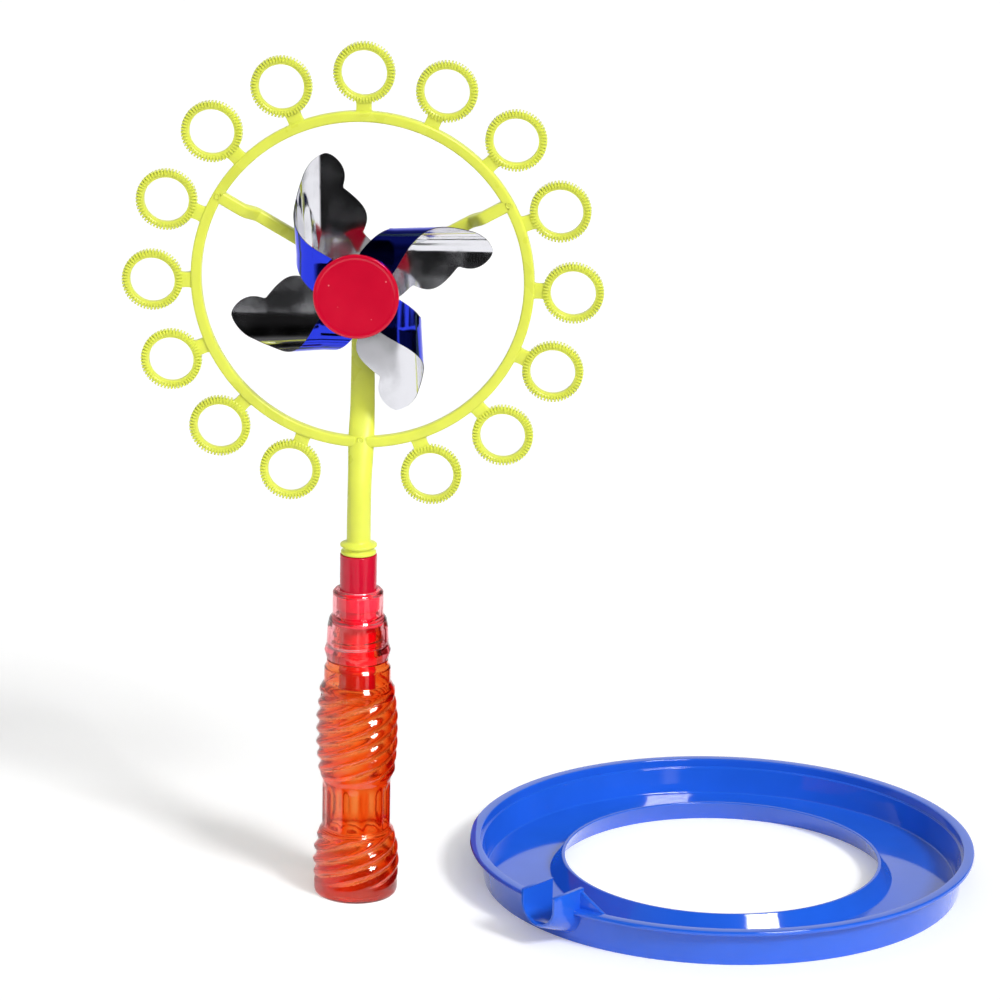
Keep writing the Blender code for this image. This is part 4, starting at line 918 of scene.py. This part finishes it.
def blade_edges(sizes):
    """Edges of the flat blade: distance along the curl at each distance from the axle."""
    reach = sizes.blade_length
    half_turn = sizes.flat + math.pi * sizes.curl
    front = half_turn + sizes.flat
    peak = sizes.flat + sizes.curl * math.pi / 2
    hub = 3.6 * MM
    crest = hub + 8.4 * MM
    free = []
    notches = ((hub, -1.5 * MM), (0.39 * reach, -0.3 * MM), (0.74 * reach, 7.8 * MM), (reach, sizes.flat + 1.0 * MM))
    for (low, start), (high, end), bulge in zip(notches, notches[1:], (5.5 * MM, 5.0 * MM, 1.4 * MM)):
        for step in range(1 if free else 0, 21):
            t = math.sin(math.pi * step / 40)
            lean = 1.0 - math.sqrt(1.0 - t * t) if high == reach else t
            free.append((low + (high - low) * t, start + (end - start) * lean - bulge * math.sin(math.pi * t)))
    flap = [
        (-2.8 * MM, front - 8.0 * MM),
        (hub * 0.25, front - hub - 0.3 * MM),
        (hub * 0.8, front - hub * 0.68),
        (hub + 4.1 * MM, front - 4.6 * MM),
        (0.26 * reach, front - 8.2 * MM),
        (0.41 * reach, half_turn - 6.0 * MM),
        (0.61 * reach, peak),
        (0.80 * reach, sizes.flat + 11.4 * MM),
        (0.86 * reach, sizes.flat + 9.9 * MM),
        (0.92 * reach, sizes.flat + 7.6 * MM),
        (0.965 * reach, sizes.flat + 5.0 * MM),
        (0.99 * reach, sizes.flat + 2.8 * MM),
        (reach, sizes.flat + 1.4 * MM),
    ]
    back = [(hub, hub * 0.9), (hub + 2.8 * MM, 9.0 * MM), (crest - 1.5 * MM, peak - 8.8 * MM), (crest, peak)]
    fore = [(-2.8 * MM, front - 8.5 * MM), (-1.3 * MM, half_turn + 2.0 * MM), (1.5 * MM, half_turn - 4.0 * MM),
            (crest, peak)]
    return free, flap, back, fore, crest, hub, peak


def curled(sizes, along, out, level):
    """Place on the bent sheet of a place on the flat one; the curl opens a little towards the tip."""
    radius = sizes.curl + sizes.flare * max(out - sizes.flat, 0.0)
    turn = min(max((along - sizes.flat) / radius, 0.0), math.pi)
    beyond = max(along - sizes.flat - math.pi * radius, 0.0)
    side = min(along, sizes.flat) + radius * math.sin(turn) - beyond
    return Vector((-side, level - radius * (1.0 - math.cos(turn)), out))


def inward(sizes, along, out, level):
    """Normal of the bent sheet, towards the inside of its curl."""
    tiny = 0.01 * MM
    across = curled(sizes, along + tiny, out, level) - curled(sizes, along - tiny, out, level)
    up = curled(sizes, along, out + tiny, level) - curled(sizes, along, out - tiny, level)
    return up.cross(across).normalized()


def blade_mesh(sizes, level, columns=48, outer_rows=44, inner_rows=14):
    """One curled blade as a thin closed sheet; materials 0, 1 and 2 are inside, outside and cut edge."""
    free, flap, back, fore, crest, hub, peak = blade_edges(sizes)
    split = round(columns * 0.6)

    def row(out, left, right, total):
        return [(left + (right - left) * i / total, out) for i in range(total + 1)]

    first = row(crest, smooth(free, crest), peak, split)
    blocks = [[first + row(crest, peak, smooth(flap, crest), columns - split)[1:]]]
    for i in range(1, outer_rows + 1):
        out = crest + (sizes.blade_length - crest) * math.sin(math.pi / 2 * i / outer_rows)
        blocks[0].append(row(out, smooth(free, out), smooth(flap, out), columns))
    rear, front = [blocks[0][0][: split + 1]], [blocks[0][0][split:]]
    for i in range(1, inner_rows + 1):
        out = crest + (hub - crest) * i / inner_rows
        rear.append(row(out, smooth(free, out), smooth(back, out), split))
        out = crest + (fore[0][0] - crest) * i / inner_rows
        front.append(row(out, smooth(fore, out), smooth(flap, out), columns - split))
    blocks += [rear, front]

    shape = bmesh.new()
    corners = {}

    def corner(place):
        if place not in corners:
            point, normal = curled(sizes, *place, level), inward(sizes, *place, level)
            corners[place] = [shape.verts.new(point + normal * sizes.foil * side / 2) for side in (1, -1)]
        return corners[place]

    borders = {}
    for block in blocks:
        for near, far in zip(block, block[1:]):
            for i in range(len(near) - 1):
                loop = [near[i], near[i + 1], far[i + 1], far[i]]
                for layer in (0, 1):
                    face = shape.faces.new([corner(place)[layer] for place in loop])
                    face.material_index = layer
                for pair in zip(loop, loop[1:] + loop[:1]):
                    borders[frozenset(pair)] = borders.get(frozenset(pair), 0) + 1
    for key, uses in borders.items():
        if uses == 1:
            a, b = key
            face = shape.faces.new((corner(a)[0], corner(b)[0], corner(b)[1], corner(a)[1]))
            face.material_index = 2
    return shape


class WINDMILL_OT_pinwheel(bpy.types.Operator):
    """Build the four foil blades, the front disc and the hub parts on the axle pin"""

    bl_idname = "windmill.pinwheel"
    bl_label = "Pinwheel"

    def execute(self, context):
        s = context.scene.windmill_pinwheel
        colours = context.scene.windmill_finishes
        # Metallised polyester film, silver on one face
        silver = film("metallised film, silver", colours.silver, gloss=0.10)
        # The same film's other face, lacquered blue
        blue = film("metallised film, blue lacquer", colours.foil_blue, gloss=0.08)
        # Cut edge of the film: dark and dull
        cut = moulded("film edge, cut", colours.film_edge, gloss=0.5, flow=5.0, grain=0.3, relief=0.01)
        # Polypropylene, red, flat and glossy
        red = specked("moulded polypropylene disc, red", colours.red, gloss=0.12)
        # Nylon, off-white, satin
        white = moulded("moulded nylon, white", colours.white, gloss=0.4, flow=6.0, grain=0.5, relief=0.03)
        steel = drawn_wire("drawn steel wire", colours.steel)

        # A blade's front and back sheets lie this far from the parts that clamp them
        clamp = 0.45 * MM
        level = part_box("rear_washer")[0].y - clamp
        for index in range(s.blades):
            shape = blade_mesh(s, level)
            turn = Matrix.Rotation(math.tau * index / s.blades, 4, "Y")
            shape.transform(Matrix.Translation(HUB) @ turn)
            name = f"blade_{index + 1}"
            item = draft(name, to_mesh(name, shape))
            marks = [face.material_index for face in item.data.polygons]
            seat(item, [silver, blue, cut], "pinwheel", "foil", f"foil_blade_{index + 1}")
            item.data.polygons.foreach_set("material_index", marks)

        low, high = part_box("front_disc")
        front, back = low.y, level - 2 * s.curl - clamp
        plug, recess = 1.7 * MM, 0.12 * MM
        outline = [
            (POLE, front + recess, 0.0),
            (s.disc_radius - 1.9 * MM, front + recess, 0.6 * MM),
            (s.disc_radius - 1.2 * MM, front, 0.3 * MM),
            (s.disc_radius, front, 0.5 * MM),
            (s.disc_radius, back, 0.3 * MM),
            (plug, back, 0.2 * MM),
            (plug, high.y, 0.3 * MM),
            (POLE, high.y, 0.0),
        ]
        disc = turned(bmesh.new(), rounded(outline), 128, "Y", AXLE, closed=False)
        piece("disc", disc, [red], "pinwheel", "red", "front_disc")

        for name, node in (("bead", "spacer_bead"), ("washer", "rear_washer")):
            low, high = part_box(node)
            outline = oblong(PIN_BORE, high.x, low.y, high.y, 0.1 * MM, 0.25 * MM)
            ring = turned(bmesh.new(), rounded(outline, closed=True, steps=3), 64, "Y", AXLE)
            piece(name, ring, [white], "pinwheel", "white", node)

        low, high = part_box("hub_spool")
        flange, waist, chamber = 8.0 * MM, 3.0 * MM, 2.0 * MM
        thick, deep = 1.0 * MM, 6.5 * MM
        outline = [
            (flange, high.y, 0.2 * MM),
            (flange, high.y - thick, 0.2 * MM),
            (waist, high.y - thick, 0.6 * MM),
            (waist, low.y + thick, 0.6 * MM),
            (flange, low.y + thick, 0.2 * MM),
            (flange, low.y, 0.2 * MM),
            (chamber, low.y, 0.1 * MM),
            (chamber, low.y + deep, 0.1 * MM),
            (PIN_BORE, low.y + deep, 0.1 * MM),
            (PIN_BORE, high.y, 0.1 * MM),
        ]
        spool = turned(bmesh.new(), rounded(outline, closed=True, steps=3), 64, "Y", AXLE)
        piece("spool", spool, [white], "pinwheel", "white", "hub_spool")

        low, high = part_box("axle_pin")
        wire, snap, head = 1.0 * MM, 1.7 * MM, 2.2 * MM
        under_head = high.y - 1.2 * MM
        outline = [
            (POLE, low.y, 0.0),
            (wire, low.y, 0.2 * MM),
            (snap, low.y + 1.0 * MM, 0.3 * MM),
            (snap, low.y + 2.0 * MM, 0.1 * MM),
            (wire, low.y + 2.0 * MM, 0.1 * MM),
            (wire, under_head, 0.1 * MM),
            (head, under_head, 0.2 * MM),
            (head, high.y, 0.7 * MM),
            (POLE, high.y, 0.0),
        ]
        pin = turned(bmesh.new(), rounded(outline, steps=4), 40, "Y", AXLE, closed=False)
        piece("pin", pin, [steel], "wand", "steel", "axle_pin")
        return {"FINISHED"}


def lip_section(half, floor, top, edge):
    """U-shaped line from one top corner down round the floor and up to the other."""
    middle = floor + half
    points = [(half, top - edge), (half, (top + middle) / 2)]
    points += [(half * math.cos(a), middle - half * math.sin(a)) for a in [math.pi * i / 24 for i in range(25)]]
    return points + [(-half, (top + middle) / 2), (-half, top - edge)]


class WINDMILL_OT_tray(bpy.types.Operator):
    """Build the blue pouring tray with its lip"""

    bl_idname = "windmill.tray"
    bl_label = "Pouring tray"

    def execute(self, context):
        s = context.scene.windmill_tray
        # Polypropylene in a deep blue, polished mould: wet-looking highlights and mirrored walls
        blue = moulded("moulded polypropylene, blue", context.scene.windmill_finishes.blue, gloss=0.07, flow=30.0,
                       grain=1.2, relief=0.012, IOR=1.5, Coat_Weight=0.4, Coat_Roughness=0.05)
        top = s.foot + 1.9 * MM
        inside = top - s.wall / 2
        edge = inside + s.rim
        under_rim, ledge = s.height - RIM_DROP, s.height - 3.6 * MM
        inner_foot = s.inner_rim + 4.6 * MM
        outline = [
            (s.foot, 0.0, 0.6 * MM),
            (top, under_rim, 0.5 * MM),
            (edge, under_rim, 0.6 * MM),
            (edge - 0.2 * MM, s.height, 0.7 * MM),
            (inside, s.height, 0.6 * MM),
            (inside, ledge, 0.4 * MM),
            (inside - 0.8 * MM, ledge, 0.4 * MM),
            (s.foot - s.wall, s.wall, 0.9 * MM),
            (inner_foot + s.wall, s.wall, 1.0 * MM),
            (s.inner_rim + s.wall, s.inner_height, 0.5 * MM),
            (s.inner_rim, s.inner_height, 0.5 * MM),
            (inner_foot, 0.0, 0.5 * MM),
        ]
        ring = turned(bmesh.new(), rounded(outline, closed=True), 256, "Z", (TRAY_MIDDLE.x, TRAY_MIDDLE.y, 0.0))
        tray = draft("tray", to_mesh("tray", ring))
        tools = [(self.notch(s), "DIFFERENCE"), (self.trough(s), "UNION"), (self.fin(s, top, -1), "UNION"),
                 (self.fin(s, top, 1), "UNION")]
        for index, (shape, operation) in enumerate(tools):
            tool = draft(f"lip_tool_{index}", to_mesh(f"lip_tool_{index}", shape))
            cut = tray.modifiers.new("lip", "BOOLEAN")
            cut.operation = operation
            cut.solver = "EXACT"
            cut.object = tool
            settle(tray)
            bpy.data.objects.remove(tool)
        tray.data.shade_smooth()
        tray.data.set_sharp_from_angle(angle=math.radians(40.0))
        seat(tray, [blue], "tray", "blue", "pouring_tray")
        return {"FINISHED"}

    def place(self, s, reach, across, height):
        """Point from its reach along the lip, offset across it and height."""
        out = Vector((math.cos(s.lip_angle), math.sin(s.lip_angle), 0.0))
        side = Vector((-math.sin(s.lip_angle), math.cos(s.lip_angle), 0.0))
        return Vector((TRAY_MIDDLE.x, TRAY_MIDDLE.y, height)) + out * reach + side * across

    def trough(self, s):
        """Half-pipe from the wall out to the tip, with its floor rising and its edges rounded."""
        root = s.foot - s.wall / 2
        edge = 0.3 * MM
        rows = []
        for share, pull in ((0.0, 0.0), (0.5, 0.0), (0.97, 0.0), (1.0, edge)):
            floor = LIP_FLOOR + LIP_CLIMB * share
            outside = lip_section(s.lip_half - pull, floor + pull, s.lip_top, edge + pull)
            inside = lip_section(s.lip_half - s.wall + pull, floor + s.wall - pull, s.lip_top, edge + pull)
            half = s.lip_half - edge
            rim = [(-half, s.lip_top - pull), (-s.lip_half + s.wall + edge, s.lip_top - pull)]
            line = outside + rim + inside[::-1] + [(-a, z) for a, z in rim[::-1]]
            reach = root + s.lip_length * share
            rows.append([self.place(s, reach, a, z) for a, z in line])
        return skin(bmesh.new(), rows, caps=True)

    def notch(self, s):
        """Cut through the wall and rim inside the half-pipe."""
        low, high = s.foot - 3 * s.wall, s.foot + s.rim + 2 * s.wall
        rise = LIP_CLIMB / s.lip_length
        rows = []
        for reach in (low, s.foot - s.wall / 2, high):
            lift = max(0.0, reach - s.foot + s.wall / 2) * rise
            line = lip_section(s.lip_half - s.wall, LIP_FLOOR + s.wall + lift, 2 * s.lip_top, 0.0)
            rows.append([self.place(s, reach, a, z) for a, z in line])
        return skin(bmesh.new(), rows, caps=True)

    def fin(self, s, top, side):
        """Sloping rib on the wall from the rim up to one side of the half-pipe."""
        inner, outer = top - s.wall, top
        start, span, edge = math.asin((s.lip_half - s.wall / 2) / inner), math.radians(7.3), 0.3 * MM
        low = s.height - RIM_DROP
        rows = []
        for share in (step / 8 for step in range(9)):
            angle = s.lip_angle + side * (start + span * share)
            peak = s.lip_top - edge + (s.height - 0.4 * MM - s.lip_top) * share
            corners = ((inner, low), (outer, low), (outer, peak - edge), (outer - edge, peak), (inner + edge, peak),
                       (inner, peak - edge))
            rows.append([(TRAY_MIDDLE.x + r * math.cos(angle), TRAY_MIDDLE.y + r * math.sin(angle), z)
                         for r, z in corners])
        return skin(bmesh.new(), rows, caps=True)


def towards(azimuth, elevation):
    """Direction to a lamp; azimuth 0 is the front, -Y, and 90 is +X."""
    a, e = math.radians(azimuth), math.radians(elevation)
    return Vector((math.sin(a) * math.cos(e), -math.cos(a) * math.cos(e), math.sin(e)))


def unseen(item, *rays):
    """Hide an object from kinds of rays."""
    for ray in rays:
        setattr(item, "visible_" + ray, False)


def lamp(name, kind, azimuth, elevation, energy, spread, distance=3.0):
    """Add a lamp that shines on the object from a direction."""
    data = bpy.data.lights.new(name, kind)
    data.energy = energy
    if kind == "SUN":
        data.angle = math.radians(spread)
    else:
        data.shape = "SQUARE"
        data.size = spread
    item = draft(name, data)
    aim, way = Vector((0.08, 0.0, 0.15)), towards(azimuth, elevation)
    item.location = aim + way * distance
    item.rotation_mode = "QUATERNION"
    item.rotation_quaternion = (-way).to_track_quat("-Z", "Y")
    return item


class WINDMILL_OT_studio(bpy.types.Operator):
    """Build the paper floor, the screens, the white tent of light, the lamps and the camera"""

    bl_idname = "windmill.studio"
    bl_label = "Studio"

    def execute(self, context):
        scene = context.scene
        scene.view_settings.view_transform = "Standard"
        # Light needs this many turns to find its way out of the clear walls
        scene.cycles.max_bounces = 32
        scene.cycles.transmission_bounces = 32
        scene.cycles.glossy_bounces = 12
        self.floor(scene)
        self.card()
        self.flag()
        self.tent(scene)
        suns = (
            lamp("key_light", "SUN", azimuth=45.0, elevation=40.0, energy=1.8, spread=12.0),
            lamp("soft_light", "SUN", azimuth=42.0, elevation=50.0, energy=0.5, spread=28.0),
            lamp("front_light", "SUN", azimuth=5.0, elevation=35.0, energy=0.68, spread=40.0),
        )
        for sun in suns:
            unseen(sun, "glossy")
        head = lamp("strobe_head", "AREA", azimuth=38.0, elevation=44.0, energy=60.0, spread=0.75, distance=2.4)
        unseen(head, "diffuse", "transmission", "camera")
        self.camera(scene)
        return {"FINISHED"}

    def floor(self, scene):
        """Roll of white paper: matt, lifted to plain white where nothing shades it."""
        # The front edge runs further forward on the right, where the upper blade mirrors it
        front = ((-4.0, -0.86), (0.46, -0.86), (0.66, -1.4), (4.0, -1.4))
        rows = [[(x, y, 0.0) for x, y in front], [(x, 6.0, 0.0) for x, _ in front]]
        floor = draft("paper_floor", to_mesh("paper_floor", skin(bmesh.new(), rows, ring=False)))
        material, tree, shader, place = start_finish("studio paper, white")
        base = scene.windmill_finishes.paper
        fibre = put(tree, "ShaderNodeTexNoise", {"Vector": place, "Scale": 1 / (2.0 * MM)})
        share = put(tree, "ShaderNodeMapRange", {0: fibre, 1: 0.3, 2: 0.7})
        deep, pale = opaque(base, 0.995), opaque(base)
        tone = put(tree, "ShaderNodeMix", {"Factor": share, 6: deep, 7: pale}, data_type="RGBA")
        ray = put(tree, "ShaderNodeLightPath").outputs
        seen = put(tree, "ShaderNodeMath", {0: ray["Is Camera Ray"], 1: ray["Is Glossy Ray"]}, operation="MAXIMUM")
        seen = put(tree, "ShaderNodeMath", {0: seen, 1: ray["Is Transmission Ray"]}, operation="MAXIMUM")
        feed(tree, shader, {
            "Base Color": tone.outputs[2], "Roughness": 0.9, "Specular IOR Level": 0.1,
            "Emission Color": OPAQUE_WHITE,
            "Emission Strength": put(tree, "ShaderNodeMath", {0: seen, 1: 0.23}, operation="MULTIPLY"),
        })
        floor.data.materials.append(material)

    def screen(self, name, finish, low, high, shape):
        """Dull screen that neither shows nor casts a shadow; its nap goes from a low to a high colour."""
        item = draft(name, to_mesh(name, shape))
        material, tree, shader, place = start_finish(finish)
        nap = put(tree, "ShaderNodeTexNoise", {"Vector": place, "Scale": 1 / (3.0 * MM)})
        share = put(tree, "ShaderNodeMapRange", {0: nap, 1: 0.3, 2: 0.7})
        tone = put(tree, "ShaderNodeMix", {"Factor": share, 6: low, 7: high}, data_type="RGBA")
        feed(tree, shader, {"Base Color": tone.outputs[2], "Specular IOR Level": 0.0})
        item.data.materials.append(material)
        unseen(item, "camera", "diffuse", "shadow")
        return item

    def card(self):
        """Low black cards before the bottle keep the reds deep, and a dark floor on the right darkens the foil.

        Only reflections see them. The far card is open in its middle for the right blade.
        """
        shape = bmesh.new()
        cards = ((-0.06, 0.035, -0.06, 0.06), (-0.12, 0.05, -0.08, 0.08), (-0.25, 0.08, -0.28, 0.005),
                 (-0.25, 0.08, 0.05, 0.16))
        for y, height, left, right in cards:
            skin(shape, [[(left, y, z), (right, y, z)] for z in (0.0, height)], ring=False)
        lift = 1.0 * MM
        panels = ((0.12, 0.8, -0.80, -0.50), (0.42, 1.0, -0.32, 0.70), (1.55, 4.0, -1.40, 2.50))
        for left, right, front, back in panels:
            skin(shape, [[(left, y, lift), (right, y, lift)] for y in (front, back)], ring=False)
        low, high = opaque(linear("#0D0D0D")), opaque(linear("#161616"))
        card = self.screen("black_card", "black card, matt", low, high, shape)
        unseen(card, "transmission")

    def flag(self):
        """Red flag right of the bottle that deepens that side; only mirrored and refracted rays meet it."""
        shape = skin(bmesh.new(), [[(0.045, -0.05, z), (0.045, 0.06, z)] for z in (0.0, 0.106)], ring=False)
        deep = linear("#B0102A")
        self.screen("red_flag", "red flag, felt", opaque(deep, 0.9), opaque(deep), shape)

    def tent(self, scene):
        """White tent round the object, dark where the camera looks in and on the right."""
        world = bpy.data.worlds.new("white_tent")
        scene.world = world
        world.use_nodes = True
        tree = world.node_tree
        way = put(tree, "ShaderNodeTexCoord").outputs["Generated"]
        axes = put(tree, "ShaderNodeSeparateXYZ", {0: way}).outputs
        ahead = put(tree, "ShaderNodeMath", {0: axes[1], 1: -1.0}, operation="MULTIPLY")
        around = put(tree, "ShaderNodeMath", {0: axes[0], 1: ahead}, operation="ARCTAN2")
        share = put(tree, "ShaderNodeMapRange", {0: around, 1: -math.pi, 2: math.pi})
        ramp = put(tree, "ShaderNodeValToRGB", {"Fac": share})
        # Brightness of the tent's walls by direction in degrees: 0 is the front, 90 the right
        walls = ((-180, 0.9), (-46, 0.85), (-22, 0.01), (21, 0.01), (25, 0.8), (28, 0.8), (32, 0.05), (140, 0.05),
                 (165, 0.9))
        stops = ramp.color_ramp.elements
        for angle, bright in walls:
            stops.new((angle + 180) / 360).color = (bright, bright, bright, 1.0)
        stops.remove(stops[0])
        stops.remove(stops[-1])
        roof = put(tree, "ShaderNodeMapRange", {0: axes[2], 1: 0.3, 2: 0.7, 3: 1.0, 4: 0.12})
        mirrored = put(tree, "ShaderNodeMath", {0: ramp, 1: roof}, operation="MULTIPLY")
        left = put(tree, "ShaderNodeMapRange", {0: axes[0], 1: -0.8, 2: 0.1, 3: 0.45, 4: 1.0})
        above = put(tree, "ShaderNodeMapRange", {0: axes[2], 1: 0.02, 2: 0.3, 3: 1.0, 4: 0.75})
        behind = put(tree, "ShaderNodeMath", {0: left, 1: above}, operation="MULTIPLY")
        ray = put(tree, "ShaderNodeLightPath").outputs
        # Plain light for diffuse rays, the walls for mirrors, a softer wall for clear plastic, white for the camera
        level = 0.28
        for kind, bright in (("Glossy", mirrored), ("Transmission", behind), ("Camera", 1.0)):
            level = put(tree, "ShaderNodeMix", {"Factor": ray[f"Is {kind} Ray"], 2: level, 3: bright})
        feed(tree, tree.nodes["Background"], {"Color": OPAQUE_WHITE, "Strength": level})

    def camera(self, scene):
        """Long lens from the front, a little above the object, as in the photograph."""
        place, focal_length = (0.1672, -1.8197, 0.7049), 172.19
        pitch, yaw, roll = math.radians(16.40), math.radians(3.49), math.radians(1.03)
        ahead = Vector((-math.sin(yaw) * math.cos(pitch), math.cos(yaw) * math.cos(pitch), -math.sin(pitch)))
        right = Vector((math.cos(yaw), math.sin(yaw), 0.0))
        up = right.cross(ahead)
        tilted = right * math.cos(roll) + up * math.sin(roll)
        level = up * math.cos(roll) - right * math.sin(roll)
        data = bpy.data.cameras.new("camera")
        data.sensor_width = 36.0
        data.lens = focal_length
        data.clip_end = 50.0
        item = draft("camera", data)
        turn = Matrix((tilted, level, -ahead)).transposed().to_4x4()
        item.matrix_world = Matrix.Translation(place) @ turn
        scene.camera = item


class WINDMILL_PT_panel(bpy.types.Panel):
    """Sidebar panel with the sizes, finishes and build steps"""

    bl_label = "Bubble windmill"
    bl_idname = "WINDMILL_PT_panel"
    bl_space_type = "VIEW_3D"
    bl_region_type = "UI"
    bl_category = "Windmill"

    def draw(self, context):
        for operator, group in STEPS:
            column = self.layout.column(align=True)
            column.operator(operator.bl_idname)
            settings = getattr(context.scene, group)
            for key in settings.__annotations__:
                column.prop(settings, key)


GROUPS = {
    "windmill_bottle": BottleSizes,
    "windmill_closure": ClosureSizes,
    "windmill_wand": WandSizes,
    "windmill_loops": LoopSizes,
    "windmill_pinwheel": PinwheelSizes,
    "windmill_tray": TraySizes,
    "windmill_finishes": FinishColours,
}
STEPS = (
    (WINDMILL_OT_bottle, "windmill_bottle"),
    (WINDMILL_OT_closure, "windmill_closure"),
    (WINDMILL_OT_wand, "windmill_wand"),
    (WINDMILL_OT_loops, "windmill_loops"),
    (WINDMILL_OT_pinwheel, "windmill_pinwheel"),
    (WINDMILL_OT_tray, "windmill_tray"),
    (WINDMILL_OT_studio, "windmill_finishes"),
)


def register():
    """Register the settings, operators and panel."""
    for name, group in GROUPS.items():
        bpy.utils.register_class(group)
        setattr(bpy.types.Scene, name, bpy.props.PointerProperty(type=group))
    for operator, _ in STEPS:
        bpy.utils.register_class(operator)
    bpy.utils.register_class(WINDMILL_PT_panel)


def unregister():
    """Take the panel, operators and settings out again."""
    bpy.utils.unregister_class(WINDMILL_PT_panel)
    for operator, _ in reversed(STEPS):
        bpy.utils.unregister_class(operator)
    for name, group in GROUPS.items():
        delattr(bpy.types.Scene, name)
        bpy.utils.unregister_class(group)


def main():
    """Build every piece."""
    register()
    bpy.ops.windmill.bottle()
    bpy.ops.windmill.closure()
    bpy.ops.windmill.wand()
    bpy.ops.windmill.loops()
    bpy.ops.windmill.pinwheel()
    bpy.ops.windmill.tray()
    bpy.ops.windmill.studio()


if __name__ == "__main__":
    main()
